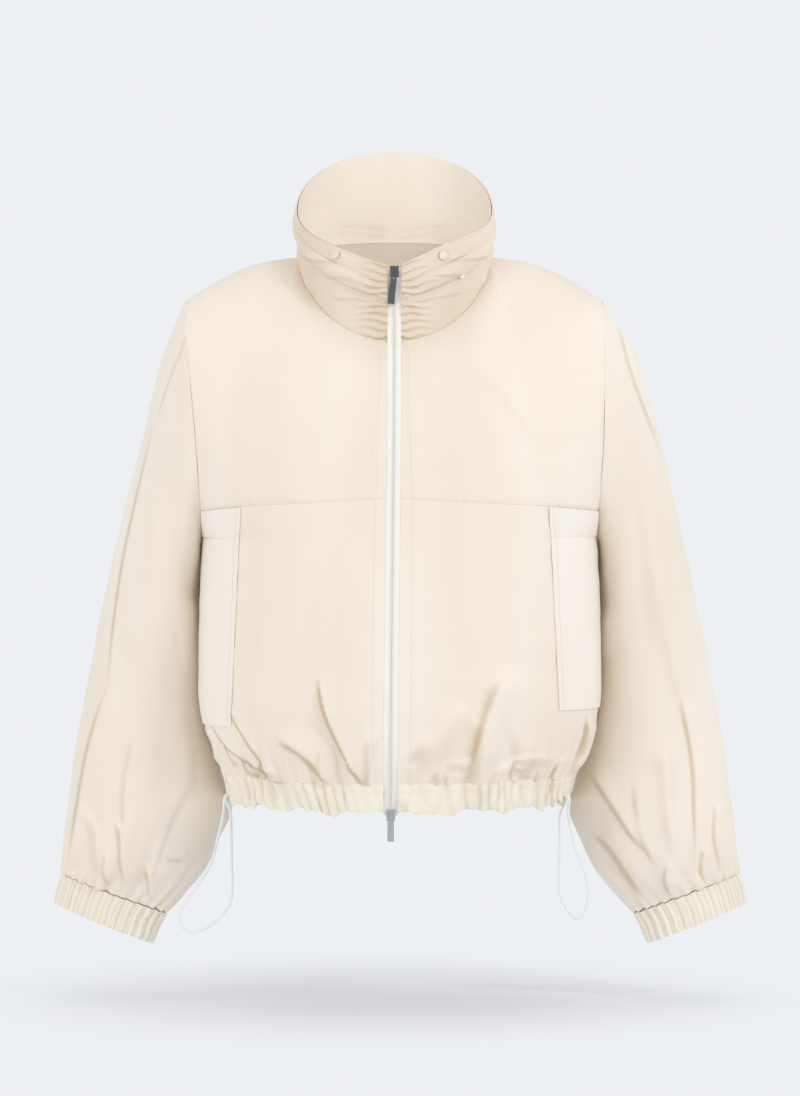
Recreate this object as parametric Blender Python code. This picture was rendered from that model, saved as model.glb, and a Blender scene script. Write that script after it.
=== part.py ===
"""Cropped water-repellent jacket with a funnel collar, filled out and hollow, as if just taken off a wearer.

Every cut-and-sewn piece is its own closed wall. The front faces -Y, the wearer's right is at -X, +Z is up.
The origin is in the middle of the neck, at the height where the shoulder seams meet the collar.
Sizes in this script are in millimetres; MM turns them into metres where a mesh is made.
"""

import math
from collections import namedtuple

import bmesh
import bpy
import numpy as np

for old in list(bpy.data.objects):
    bpy.data.objects.remove(old, do_unlink=True)

MM = 0.001

# Driving sizes
CLOTH = 1.2
DOUBLED_CLOTH = 2.2
SEAM = 0.4
LAID_ON = 0.6
ZIP_HALF = 7.0
FRONT, BACK = -1, 1
LEFT, RIGHT = -1, 1  # as the picture shows them, so LEFT is the wearer's right side

# Torso: one row for each level, from neckline (0) past the underarm (14) and hem seam (26) to the hem edge (28)
BodyRow = namedtuple("BodyRow", "at front_z front_depth back_z back_depth half_width turn")
BODY = (
    BodyRow(0, -83, 78, 24, 76, 196, 55),
    BodyRow(4, -137, 101, -52, 100, 196, 58),
    BodyRow(7, -180, 113, -115, 112, 196, 63),
    BodyRow(11, -238, 121, -208, 122, 196, 77),
    BodyRow(14, -280, 125, -278, 126, 195.5, 89),
    BodyRow(17, -336, 129, -336, 129, 198, 90),
    BodyRow(20, -396, 132, -396, 130, 199, 90),
    BodyRow(23, -452, 133, -452, 129, 197, 90),
    BodyRow(25, -494, 127, -494, 123, 184, 90),
    BodyRow(26, -517, 119, -517, 117, 173, 90),
    BodyRow(28, -546, 117, -546, 115, 166, 90),
)
ARMHOLE_ROW = 14
YOKE_ROW = 11
HEM_ROW = 26
HEM_EDGE_ROW = 28
ROUNDNESS = 2.4
ARMHOLE_Z, ARMHOLE_HALF_HEIGHT, ARMHOLE_HALF_DEPTH = -157.0, 118.0, 76.0
ARMHOLE_X, ARMHOLE_LEAN = 201.5, 6.0
SIDE_SHIFT = 5.3  # the photographed jacket hangs a little to one side below the shoulders
ZIP_DRIFT = -3.5
SHOULDER_BULGE = 10.0
NECK_SHARE = 0.52  # share of a top edge that is neckline, the rest is shoulder seam
NECK_HALF_WIDTH, NECK_FRONT, NECK_BACK = 94.0, 78.0, 76.0
RIM_HALF_WIDTH, RIM_HALF_DEPTH, RIM_BACK_SHIFT = 96.5, 82.0, 3.0
RIM_MID_Z, RIM_TILT = 53.5, 64.5
RIM_RISE = {LEFT: 24.0, RIGHT: 38.0}
COLLAR_BULGE = 3.0
COLLAR_LEAN = 0.04
RUCHES, RUCHE_DEPTH, RUCHE_REACH = 9, 1.7, 11.0

# Large soft folds: from the deep end to the faint end, in front or back view; positive depth stands out
Fold = namedtuple("Fold", "x z to_x to_z bow width depth")
FRONT_FOLDS = (
    Fold(-30, -538, -74, -458, 8, 11, -6),
    Fold(-100, -538, -178, -474, -6, 10, -5),
    Fold(-62, -534, -104, -486, -6, 10, 5),
    Fold(-136, -528, -152, -458, 8, 9, -4),
    Fold(20, -515, 76, -440, 6, 14, -6),
    Fold(82, -532, 110, -420, -6, 13, 7),
    Fold(118, -520, 96, -450, 4, 10, -5),
    Fold(165, -535, 196, -462, 6, 11, -6),
)
BACK_FOLDS = (
    Fold(-150, -536, -120, -440, 6, 12, -6),
    Fold(-84, -534, -60, -456, -6, 11, 5),
    Fold(-20, -536, -44, -430, 6, 13, -6),
    Fold(46, -534, 30, -462, 5, 11, 5),
    Fold(96, -536, 128, -446, -8, 12, -6),
    Fold(160, -530, 176, -464, 4, 11, -5),
)
HEM_GATHER = 2.4
CUFF_GATHER = 1.6

# Sleeves: rings from armhole (0) past the cuff seam (12) to the cuff edge (14), by their outer and inner points
SleeveRow = namedtuple("SleeveRow", "at outer_x outer_z inner_x inner_z half_depth mid_y")
SLEEVE = (
    SleeveRow(0, 207.5, -39, 195.5, -275, 76, 0),
    SleeveRow(1, 223, -68, 199.8, -287, 80, 10),
    SleeveRow(2, 239, -101, 199, -302, 83, 20),
    SleeveRow(3, 255, -160, 198, -324, 83, 31),
    SleeveRow(4, 271, -222, 197, -353, 81, 39),
    SleeveRow(5, 286, -285, 196, -388, 77, 45),
    SleeveRow(6, 300, -348, 195.5, -428, 72, 49),
    SleeveRow(7, 312.5, -411, 191, -468, 68, 51),
    SleeveRow(8, 324.5, -473, 182, -508, 64, 50),
    SleeveRow(9, 332.5, -533, 171.5, -547, 60, 46),
    SleeveRow(10, 337.5, -573, 186, -578, 55, 42),
    SleeveRow(11, 339, -600, 204, -612, 45, 38),
    SleeveRow(12, 339.5, -614, 238, -650, 29, 36),
    SleeveRow(14, 347, -643, 254, -681, 26, 35),
)
CUFF_RING = 12
SLEEVE_FRONT_FOLDS = {
    LEFT: (
        Fold(-250, -625, -212, -545, -8, 11, -5),
        Fold(-318, -610, -306, -545, 6, 10, -4),
        Fold(-285, -560, -262, -330, 10, 18, -4),
        Fold(-200, -330, -218, -235, -4, 14, -5),
    ),
    RIGHT: (
        Fold(245, -640, 204, -560, -8, 11, -5),
        Fold(300, -612, 290, -470, 6, 12, -5),
        Fold(278, -620, 268, -505, -4, 11, 4),
        Fold(206, -340, 214, -225, 4, 14, -5),
    ),
}
SLEEVE_BACK_FOLDS = {
    LEFT: (Fold(-262, -630, -232, -540, 6, 12, -5), Fold(-300, -600, -285, -420, -8, 15, -4)),
    RIGHT: (Fold(270, -630, 238, -548, 6, 12, -5), Fold(318, -600, 300, -440, 8, 14, -4)),
}
SLEEVE_SIDES = 28


def along(table, column, where):
    """One column of a table as a smooth curve through its rows, read at one or many places."""
    at = np.array([row.at for row in table], float)
    values = np.array([getattr(row, column) for row in table], float)
    slopes = np.gradient(values, at)
    where = np.clip(np.asarray(where, float), at[0], at[-1])
    row = np.clip(np.searchsorted(at, where, side="right") - 1, 0, len(at) - 2)
    step = at[row + 1] - at[row]
    t = (where - at[row]) / step
    rest = 1 - t
    ends = (1 + 2 * t) * rest**2 * values[row] + (3 - 2 * t) * t**2 * values[row + 1]
    return ends + step * (t * rest**2 * slopes[row] - t**2 * rest * slopes[row + 1])


def eased(value):
    """A soft step from 0 to 1."""
    value = np.clip(value, 0, 1)
    return value * value * (3 - 2 * value)


def side_shift(z):
    return SIDE_SHIFT * eased((-40 - z) / 160)


def zip_x(z):
    return ZIP_DRIFT * eased((-80 - z) / 460)


def fold_height(folds, x, z):
    """How far a list of soft folds lifts the cloth at x, z."""
    height = np.zeros(np.broadcast(x, z).shape)
    for fold in folds:
        run_x = fold.to_x - fold.x
        run_z = fold.to_z - fold.z
        length = math.hypot(run_x, run_z)
        reach = ((x - fold.x) * run_x + (z - fold.z) * run_z) / length**2
        t = np.clip(reach, 0, 1)
        aside = ((x - fold.x) * run_z - (z - fold.z) * run_x) / length - fold.bow * 4 * t * (1 - t)
        beyond = (reach - t) * length
        height += fold.depth * (1 - 0.7 * t) * np.exp(-(aside**2 + beyond**2) / fold.width**2)
    return height


def points(*columns):
    return np.stack(np.broadcast_arrays(*columns), axis=-1).astype(float)


def neck_point(turn):
    """Neck seam; turn is 0 at centre front and 180 degrees at centre back."""
    q = np.cos(turn)
    depth = np.where(q > 0, NECK_FRONT, NECK_BACK)
    z = 10 - 54 * q - 39 * np.sqrt(q * q + 0.0225)
    return points(NECK_HALF_WIDTH * np.sin(turn), -depth * q, z)


def rim_point(turn):
    """Upper edge of the collar, low in front and high behind."""
    q = np.cos(turn)
    s = np.sin(turn)
    rise = np.where(s < 0, RIM_RISE[LEFT], RIM_RISE[RIGHT]) * np.abs(s) * np.clip(q, 0, 1) ** 2
    return points(RIM_HALF_WIDTH * s, RIM_BACK_SHIFT - RIM_HALF_DEPTH * q, RIM_MID_Z - RIM_TILT * q + rise)


def neck_start(face):
    """Turn at which a front or back begins on the neck seam, measured from its own middle."""
    return math.asin(ZIP_HALF / NECK_HALF_WIDTH) if face == FRONT else 0.0


def neck_turn(face, across):
    """Turn round the neck, from centre front, of a place on a top edge."""
    first = neck_start(face)
    turn = first + (math.pi / 2 - first) * np.clip(across / NECK_SHARE, 0, 1)
    return turn if face == FRONT else math.pi - turn


def neck_across(face, turn):
    """Place on a top edge of a turn round the neck."""
    first = neck_start(face)
    own = turn if face == FRONT else math.pi - turn
    return NECK_SHARE * (own - first) / (math.pi / 2 - first)


def top_edge(face, side, across):
    """Neckline, then shoulder seam, of a front or back."""
    neck = neck_point(neck_turn(face, across))
    tip = np.array([ARMHOLE_X + ARMHOLE_LEAN, 0, ARMHOLE_Z + ARMHOLE_HALF_HEIGHT])
    t = np.clip((across - NECK_SHARE) / (1 - NECK_SHARE), 0, 1)
    shoulder = neck + (tip - neck_point(np.array(math.pi / 2))) * t[..., None]
    shoulder[..., 2] += SHOULDER_BULGE * np.sin(math.pi * t)
    return np.where((across < NECK_SHARE)[..., None], neck, shoulder) * np.array([side, 1, 1])


def section(face, side, row, across):
    """Torso surface before its folds; across runs from centre (0) to armhole or side seam (1)."""
    name = "front" if face == FRONT else "back"
    mid_z = along(BODY, name + "_z", row)
    mid_y = face * along(BODY, name + "_depth", row)
    mid_x = zip_x(mid_z) + side * ZIP_HALF if face == FRONT else side_shift(mid_z)
    turn = np.radians(np.clip(along(BODY, "turn", row), 50, 90))
    round_armhole = math.pi * np.clip(row / ARMHOLE_ROW, 0, 1)
    below = row > ARMHOLE_ROW
    side_rise = 6 * np.clip((row - ARMHOLE_ROW) / (HEM_EDGE_ROW - ARMHOLE_ROW), 0, 1) ** 2
    drop = mid_z - along(BODY, name + "_z", ARMHOLE_ROW)
    armhole_bottom = ARMHOLE_Z - ARMHOLE_HALF_HEIGHT
    blend = eased((row - ARMHOLE_ROW) / 3)
    low_z = armhole_bottom * (1 - blend) + mid_z * blend + drop * (1 - blend) + side_rise
    edge_z = np.where(below, low_z, ARMHOLE_Z + ARMHOLE_HALF_HEIGHT * np.cos(round_armhole))
    edge_x = np.where(below, along(BODY, "half_width", row), ARMHOLE_X + ARMHOLE_LEAN * np.cos(round_armhole))
    edge_x = side * edge_x + side_shift(edge_z)
    edge_y = np.where(below, 0, face * ARMHOLE_HALF_DEPTH * np.sin(round_armhole))
    angle = across * turn
    power = 2 / ROUNDNESS
    sideways = (np.sin(angle) / np.sin(turn)) ** power
    backwards = (1 - np.cos(angle) ** power) / (1 - np.clip(np.cos(turn), 0, 1) ** power)
    x = mid_x + (edge_x - mid_x) * sideways
    y = mid_y + (edge_y - mid_y) * backwards
    z = mid_z + (edge_z - mid_z) * sideways
    return points(x, y, z)


def hem_gathers(face, row, across):
    """Alternate lift of the gathered cloth above the hem and of the hem casing."""
    count = 12 if face == FRONT else 10
    strength = eased((row - 23.8) / 2.0)
    uneven = 0.8 + 0.2 * np.sin(19 * across + face)
    return HEM_GATHER * strength * uneven * np.cos(2 * math.pi * count * across)


def body_point(face, side, row, across, folded=True):
    row, across = np.broadcast_arrays(np.asarray(row, float), np.clip(np.asarray(across, float), 0, 1))
    base = section(face, side, row, across)
    top = np.zeros_like(row)
    lift = top_edge(face, side, across) - section(face, side, top, across)
    base = base + lift * (np.clip(1 - row / (ARMHOLE_ROW - 1), 0, 1) ** 2)[..., None]
    if not folded:
        return base
    folds = FRONT_FOLDS if face == FRONT else BACK_FOLDS
    calm = np.clip((1 - across) * 5, 0, 1) * np.clip(across * 8, 0, 1)
    calm = calm * np.clip((HEM_EDGE_ROW - row) / 2, 0, 1)
    height = fold_height(folds, base[..., 0], base[..., 2]) * calm
    height = height + hem_gathers(face, row, across)
    return base + body_facing(face, side, row, across, folded=False) * height[..., None]


def body_facing(face, side, row, across, folded=True):
    """Unit direction out of a front or back."""
    across = np.clip(across, 0.004, 0.996)
    def at(row, across):
        return body_point(face, side, row, across, folded)

    down = at(row + 0.05, across) - at(row - 0.05, across)
    aside = at(row, across + 0.004) - at(row, across - 0.004)
    return unit(np.cross(down, aside)) * -side * face


def sleeve_point(side, ring, turn, folded=True):
    """Sleeve surface; turn is 0 on top, a quarter in front, a half at the underarm."""
    outer_x, outer_z = along(SLEEVE, "outer_x", ring), along(SLEEVE, "outer_z", ring)
    inner_x, inner_z = along(SLEEVE, "inner_x", ring), along(SLEEVE, "inner_z", ring)
    q = np.cos(turn)
    z = (outer_z + inner_z) / 2 + (outer_z - inner_z) / 2 * q
    x = side * ((outer_x + inner_x) / 2 + (outer_x - inner_x) / 2 * q) + side_shift(z)
    y = along(SLEEVE, "mid_y", ring) - along(SLEEVE, "half_depth", ring) * np.sin(turn)
    base = points(x, y, z)
    if not folded:
        return base
    ahead = np.sin(turn)
    calm = np.clip(ring / 2, 0, 1) * np.clip((CUFF_RING - ring) * 1.5, 0, 1)
    height = fold_height(SLEEVE_FRONT_FOLDS[side], x, z) * np.clip(ahead * 2, 0, 1) * calm
    height = height + fold_height(SLEEVE_BACK_FOLDS[side], x, z) * np.clip(-ahead * 2, 0, 1) * calm
    gathered = eased((ring - 11.1) / 0.9)
    uneven = 0.8 + 0.2 * np.sin(3 * turn + side)
    height = height + CUFF_GATHER * gathered * uneven * np.cos(SLEEVE_SIDES * turn)
    return base + sleeve_facing(side, ring, turn) * height[..., None]


def sleeve_facing(side, ring, turn):
    def bare(u, v):
        return sleeve_point(side, u, v, folded=False)

    ring = np.clip(ring, 0.03, 13.97)
    du = bare(ring + 0.03, turn) - bare(ring - 0.03, turn)
    dv = bare(ring, turn + 0.01) - bare(ring, turn - 0.01)
    out = np.cross(dv, du) * side
    return out / np.linalg.norm(out, axis=-1, keepdims=True)


def collar_point(turn, height, folded=True):
    """Collar surface; turn is negative towards LEFT, height 0 at the neck seam and 1 at the rim."""
    height = np.asarray(height, float)
    leaned = height - COLLAR_LEAN * np.sin(turn) * np.sin(math.pi * height)
    low, high = neck_point(turn), rim_point(turn)
    base = low + (high - low) * leaned[..., None]
    swell = COLLAR_BULGE * np.sin(math.pi * np.clip(height, 0, 1))
    if folded:
        from_zip = np.degrees(np.minimum(np.abs(turn), 2 * math.pi - np.abs(turn))) - 4.3
        near_zip = np.exp(-((from_zip / RUCHE_REACH) ** 2))
        swell = swell + RUCHE_DEPTH * near_zip * (np.cos(2 * math.pi * RUCHES * height) - 1) / 2
    out = points(np.sin(turn), -np.cos(turn), np.zeros_like(turn))
    return base + out * swell[..., None]


def unit(vectors):
    return vectors / np.maximum(np.linalg.norm(vectors, axis=-1, keepdims=True), 1e-9)


def mitred(own, other, weight=1.0):
    """Edge direction shared by two walls that meet, lengthened so that the wall keeps its thickness."""
    shared = unit(own + other * weight)
    return shared / np.clip(np.sum(shared * own, axis=-1, keepdims=True), 0.6, 1)


def flat(directions, axis):
    """Edge directions laid into the plane of a seam."""
    kept = np.array(directions)
    kept[..., axis] = 0
    return unit(kept)


def material(name, hex_colour, roughness, metallic=0.0):
    made = bpy.data.materials.new(name)
    made.use_nodes = True
    shader = made.node_tree.nodes["Principled BSDF"]
    channels = [int(hex_colour[i : i + 2], 16) / 255 for i in (0, 2, 4)]
    linear = [c / 12.92 if c <= 0.04045 else ((c + 0.055) / 1.055) ** 2.4 for c in channels]
    shader.inputs["Base Color"].default_value = (*linear, 1)
    shader.inputs["Roughness"].default_value = roughness
    shader.inputs["Metallic"].default_value = metallic
    made.diffuse_color = (*linear, 1)
    return made


def finished(name, form, look, smooth=True):
    """A bmesh, in millimetres, made an object of its own."""
    bmesh.ops.recalc_face_normals(form, faces=form.faces)
    bmesh.ops.scale(form, vec=(MM, MM, MM), verts=form.verts)
    mesh = bpy.data.meshes.new(name)
    form.to_mesh(mesh)
    form.free()
    mesh.materials.append(look)
    if smooth:
        mesh.shade_smooth()
        mesh.set_sharp_from_angle(angle=math.radians(40))
    made = bpy.data.objects.new(name, mesh)
    bpy.context.scene.collection.objects.link(made)
    return made


def rungs(count, next_count, closed):
    """Triangles between two neighbouring lines of points, as (line, place) corners."""
    steps = count if closed else count - 1
    next_steps = next_count if closed else next_count - 1
    i = j = 0
    found = []
    while i < steps or j < next_steps:
        here, there = (0, i % count), (1, j % next_count)
        if j == next_steps or (i < steps and (2 * i + 1) * next_steps <= (2 * j + 1) * steps):
            found.append((here, (0, (i + 1) % count), there))
            i += 1
        else:
            found.append((here, (1, (j + 1) % next_count), there))
            j += 1
    return found


def wall(name, lines, look, closed=False, near=0.0, far=None, thick=CLOTH):
    """A closed wall between two offsets of the same lines of (points, directions)."""
    form = bmesh.new()
    if far is None:
        near, far = -thick, 0.0
    skins = []
    for offset in (near, far):
        skins.append([[form.verts.new(spot) for spot in at + out * offset] for at, out in lines])
    inside, outside = skins
    for k in range(len(lines) - 1):
        for corners in rungs(len(lines[k][0]), len(lines[k + 1][0]), closed):
            form.faces.new([outside[k + line][place] for line, place in corners])
            form.faces.new([inside[k + line][place] for line, place in reversed(corners)])
    for k in (0, len(lines) - 1):
        count = len(lines[k][0])
        for i in range(count if closed else count - 1):
            after = (i + 1) % count
            form.faces.new((outside[k][i], outside[k][after], inside[k][after]))
            form.faces.new((outside[k][i], inside[k][after], inside[k][i]))
    if not closed:
        for k in range(len(lines) - 1):
            for end in (0, -1):
                form.faces.new((outside[k][end], outside[k + 1][end], inside[k + 1][end]))
                form.faces.new((outside[k][end], inside[k + 1][end], inside[k][end]))
    return finished(name, form, look)


SHELL = material("shell_cloth", "EFE6D8", 0.62)
WELT_CLOTH = material("welt_cloth", "F4EEE2", 0.6)
COLLAR_CLOTH = material("collar_cloth", "E6D8C5", 0.62)
RIB_CLOTH = material("gathered_cloth", "F0E8D6", 0.64)
TAPE = material("zip_tape", "EAE7DA", 0.7)
COIL = material("zip_coil", "F0ECDF", 0.45)
DARK_METAL = material("dark_metal", "6A6A6C", 0.3, 1.0)
PALE_METAL = material("pale_metal", "B9BBBD", 0.28, 1.0)
SNAP = material("snap_cap", "E2DBCB", 0.35)
CORD = material("elastic_cord", "E6EBEB", 0.6)


def armhole_directions(side, own, turn, from_sleeve):
    """Shared on top of the shoulder, each wall's own at the underarm, where the two walls lie back to back."""
    ring = np.full_like(turn, 0.05)
    if from_sleeve:
        face_rows = np.abs((turn + math.pi) % (2 * math.pi) - math.pi) / math.pi * ARMHOLE_ROW
        torso = []
        for row, ahead in zip(face_rows, np.sin(turn) >= 0):
            face = FRONT if ahead else BACK
            torso.append(body_facing(face, side, np.array(row), np.array(0.995)))
        other = np.array(torso)
    else:
        other = sleeve_facing(side, ring, turn)
    weight = np.clip((np.cos(turn) + 0.3) / 0.6, 0, 1)[..., None]
    return mitred(own, other, weight)


def body_line(face, side, row, across):
    """Points and wall directions along one level of a front or back, with its edges laid into their seams."""
    rows = np.full_like(across, row)
    at = body_point(face, side, rows, across)
    out = body_facing(face, side, rows, across)
    if row == 0:
        over_neck = across < NECK_SHARE
        turn = side * neck_turn(face, across)
        collar = points(np.sin(turn), -np.cos(turn), np.zeros_like(turn))
        seam = flat(out, 1)
        seam = seam / np.clip(np.sum(seam * out, 1), 0.6, 1)[:, None]
        out = np.where(over_neck[:, None], mitred(out, collar), seam)
    if row <= ARMHOLE_ROW:
        turn = np.array([-face * math.pi * row / ARMHOLE_ROW])
        out[-1] = armhole_directions(side, out[-1:], turn, False)[0]
        if row == 0:
            out[-1] = flat(out[-1], 1)
    else:
        out[-1] = (side, 0, 0)
    if face == FRONT:
        out[0] = flat(out[0], 0)
    at[:, 1] += face * SEAM / 2 * np.clip(1 - np.abs(at[:, 1]) / 20, 0, 1)
    return at, out


WELT_COLUMN, COLUMNS, WELT_REACH = 7, 12, 0.965
WELT_EDGE = {LEFT: (150, 159), RIGHT: (151, 161)}
WELT_TOP_Z, WELT_LOW_Z = -250, -455
WELT_END_ROW = {LEFT: 23.5, RIGHT: 22.7}


def front_columns(side, row, doubled=False):
    """Places across a front, with one column on the pocket welt's inner edge."""
    z = along(BODY, "front_z", row)
    share = np.clip((WELT_TOP_Z - z) / (WELT_TOP_Z - WELT_LOW_Z), 0, 1)
    edge = WELT_EDGE[side][0] + (WELT_EDGE[side][1] - WELT_EDGE[side][0]) * share
    start = ZIP_HALF + side * zip_x(z)
    far = along(BODY, "half_width", row) + side * side_shift(z)
    turn = math.radians(min(float(along(BODY, "turn", row)), 90))
    at_edge = math.asin(math.sin(turn) * ((edge - start) / (far - start)) ** (ROUNDNESS / 2)) / turn
    at_edge += (WELT_COLUMN / COLUMNS - at_edge) * float(eased((row - 24) / 1.5))
    inner = np.linspace(0, at_edge, (2 if doubled else 1) * WELT_COLUMN + 1)
    steps = (2 if doubled else 1) * (COLUMNS - WELT_COLUMN - 1)
    outer = np.linspace(at_edge, WELT_REACH, steps + 1)
    seam = np.linspace(WELT_REACH, 1, 3 if doubled else 2)
    return np.concatenate([inner[:-1], outer[:-1], seam])


def top_columns(face):
    """Places along a top edge: one at each station of the collar, then the shoulder seam."""
    turns = np.sort([turn for turn in collar_turns() if turn > 0])
    quarter = math.pi / 2 + 1e-6
    own = turns[turns < quarter] if face == FRONT else turns[turns > quarter - 2e-6][::-1]
    neck = neck_across(face, own)
    neck[0] = 0
    return np.concatenate([neck[:-1], np.linspace(NECK_SHARE, 1, 5)])


def front(side, name):
    """Yoke, lower front and pocket welt of one side."""
    seam_across = front_columns(side, YOKE_ROW)
    yoke_lines = [body_line(FRONT, side, 0, top_columns(FRONT))]
    for row in range(1, YOKE_ROW + 1):
        across = np.linspace(0, 1, 11) if row < YOKE_ROW else seam_across
        yoke_lines.append(body_line(FRONT, side, row, across))
    wall("yoke_" + name, yoke_lines, SHELL)
    start = YOKE_ROW + 0.03
    rows = [start, 12, 13, 14, 15.5, 17, 18.5, 20, 21.4, WELT_END_ROW[side]]
    lines = [body_line(FRONT, side, row, front_columns(side, row)) for row in rows]
    covered = [(at[WELT_COLUMN:-1], out[WELT_COLUMN:-1]) for at, out in lines]
    for row in (24.4, 25.0, 25.5, HEM_ROW):
        lines.append(body_line(FRONT, side, row, front_columns(side, row, doubled=True)))
    wall("front_" + name, lines, SHELL)
    wall("pocket_welt_" + name, covered, WELT_CLOTH, near=SEAM, far=SEAM + 1.0)


def mirrored_line(row, across):
    """A back's level from one side to the other."""
    left_at, left_out = body_line(BACK, LEFT, row, across)
    right_at, right_out = body_line(BACK, RIGHT, row, across)
    middle = flat(left_out[:1], 0)
    at = np.concatenate([left_at[:0:-1], right_at])
    out = np.concatenate([left_out[:0:-1], middle, right_out[1:]])
    return at, out


def back():
    even = np.linspace(0, 1, 11)
    lines = [mirrored_line(0, top_columns(BACK))]
    lines += [mirrored_line(row, even) for row in range(1, ARMHOLE_ROW + 1)]
    for row in (15.6, 17.4, 19.2, 21, 22.6):
        lines.append(mirrored_line(row, even))
    for row in (24, 24.8, 25.4, HEM_ROW):
        lines.append(mirrored_line(row, np.linspace(0, 1, 21)))
    wall("back", lines, SHELL)


HEM_WAVE, HEM_WAVE_STEP = 2.2, 0.9  # height of the edge's waves, and their turn from point to point


def hem_casing():
    """One gathered tube-like strip from zip to zip, round the sides and back."""
    lines = []
    for row in (HEM_ROW + 0.04, 27, HEM_EDGE_ROW):
        front_across = front_columns(LEFT, HEM_ROW, doubled=True)
        left_at, left_out = body_line(FRONT, LEFT, row, front_across)
        back_at, back_out = mirrored_line(row, np.linspace(0, 1, 21))
        right_at, right_out = body_line(FRONT, RIGHT, row, front_columns(RIGHT, HEM_ROW, doubled=True))
        at = np.concatenate([left_at, back_at[1:-1], right_at[::-1]])
        out = np.concatenate([left_out, back_out[1:-1], right_out[::-1]])
        if row == HEM_EDGE_ROW:
            at[:, 2] += HEM_WAVE * np.sin(np.arange(len(at)) * HEM_WAVE_STEP)
        lines.append((at, out))
    wall("hem_casing", lines, RIB_CLOTH, thick=DOUBLED_CLOTH)


def sleeve(side, name):
    lines = []
    coarse = np.arange(SLEEVE_SIDES) * 2 * math.pi / SLEEVE_SIDES
    fine = np.arange(2 * SLEEVE_SIDES) * math.pi / SLEEVE_SIDES
    for ring in (0, 1, 2, 3, 4, 5, 6, 7, 8, 9, 9.8, 10.6):
        at = sleeve_point(side, np.full_like(coarse, ring), coarse)
        out = sleeve_facing(side, np.full_like(coarse, ring), coarse)
        if ring == 0:
            at[:, 0] += side * 1.5 * SEAM
            out = armhole_directions(side, out, coarse, True)
            out[0] = flat(out[0], 1)
        lines.append((at, out))
    for ring in (11.2, 11.6, CUFF_RING):
        rings = np.full_like(fine, ring)
        lines.append((sleeve_point(side, rings, fine), sleeve_facing(side, rings, fine)))
    wall("sleeve_" + name, lines, SHELL, closed=True)
    cuff = []
    for ring in (CUFF_RING + 0.03, 14):
        rings = np.full_like(fine, ring)
        cuff.append((sleeve_point(side, rings, fine), sleeve_facing(side, rings, fine)))
    wall("cuff_" + name, cuff, RIB_CLOTH, closed=True, thick=DOUBLED_CLOTH - 0.6)


ROLL_LOW, ROLL_TOP = 10 / 18, 14 / 18
ROLL_SHAPE = np.array([0, 0.72, 1, 0.86, 0.2])  # share of the roll's fullness at five heights
ROLL_FLAT, ROLL_FULL, ROLL_AT_SIDE = 1.2, 4.6, 0.45
BAND_THICK = 1.6
STAND_LIFT = 0.7
FINE_HEIGHTS = np.arange(19) / 18
PLAIN_HEIGHTS = np.array([0, 4, 7, 10, 14, 18]) / 18


def collar_turns():
    """Stations round the collar, close together beside the zip."""
    near = [math.degrees(neck_start(FRONT)), 9, 15, 22]
    one_side = np.radians(np.concatenate([near, np.linspace(35.6, 90, 5), np.linspace(101.25, 180, 8)]))
    return np.concatenate([-one_side, one_side[-2::-1]])


def collar_line(turn, heights, lift=0.0):
    turns = np.full(len(heights), turn)
    at = collar_point(turns, heights)
    out = points(np.sin(turns), -np.cos(turns), np.zeros_like(turns))
    if abs(abs(turn) - neck_start(FRONT)) < 1e-6:
        at[:, 0] = math.copysign(ZIP_HALF, turn)
        out = flat(out, 0)
    at[:, 2] += lift * np.clip(1 - heights * 6, 0, 1)
    return at, out


def collar():
    stand, roll, band = [], [], []
    for turn in collar_turns():
        beside_zip = abs(math.degrees(turn)) < 16
        heights = FINE_HEIGHTS if beside_zip else PLAIN_HEIGHTS
        at, out = collar_line(turn, heights, lift=STAND_LIFT)
        body_out = neck_facing(turn)
        out[0] = mitred(out[0], body_out)
        stand.append((at, out))
        calm = 1 - math.exp(-((abs(math.degrees(turn)) - 4.3) / 10) ** 2)
        steps = np.linspace(ROLL_LOW, ROLL_TOP - 0.004, 5)
        roll_at, roll_out = collar_line(turn, steps)
        ahead = ROLL_AT_SIDE + (1 - ROLL_AT_SIDE) * math.cos(turn) ** 2
        hump = ROLL_SHAPE * (ROLL_FLAT + ROLL_FULL * calm * ahead)
        roll.append((roll_at + roll_out * hump[:, None], roll_out))
        steps = np.linspace(ROLL_TOP + 0.004, 1, 5) if beside_zip else np.linspace(ROLL_TOP + 0.004, 1, 3)
        band.append(collar_line(turn, steps))
    wall("collar_stand", stand, COLLAR_CLOTH)
    wall("collar_roll", roll, COLLAR_CLOTH, near=LAID_ON, far=LAID_ON + CLOTH)
    wall("collar_band", band, COLLAR_CLOTH, near=LAID_ON, far=LAID_ON + BAND_THICK)


def neck_facing(turn):
    """Direction of the torso wall at one place on the neck seam."""
    side = LEFT if turn < 0 else RIGHT
    from_front = abs(turn)
    face = FRONT if from_front <= math.pi / 2 else BACK
    return body_facing(face, side, np.array(0.0), np.array(neck_across(face, from_front)))


# Zip: a path down the centre front, from collar rim to hem edge
ZipSpot = namedtuple("ZipSpot", "at y x")
TAPE_INNER, TAPE_THICK, COIL_HALF, COIL_THICK = 1.4, 1.0, 1.0, 2.0
SLIDER_TOP_Z, SLIDER_LOW_Z = -15.5, -545.0
TAPE_TOP_Z, TAPE_LOW_Z = -11.5, -545.5


def zip_path():
    rows = np.array([0.4, 1.5, 3, 5, 7, 9, 11, 13, 15.5, 18, 20.5, 22.5, 24, 25, 26, 27, 28])
    body = body_point(FRONT, RIGHT, rows, np.zeros_like(rows), folded=False)
    spots = [ZipSpot(z, rim_point(np.array(0.0))[1], 0.0) for z in (RIM_MID_Z - RIM_TILT, -30, -60)]
    spots += [ZipSpot(spot[2], spot[1], float(zip_x(spot[2]))) for spot in body]
    return spots


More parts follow.
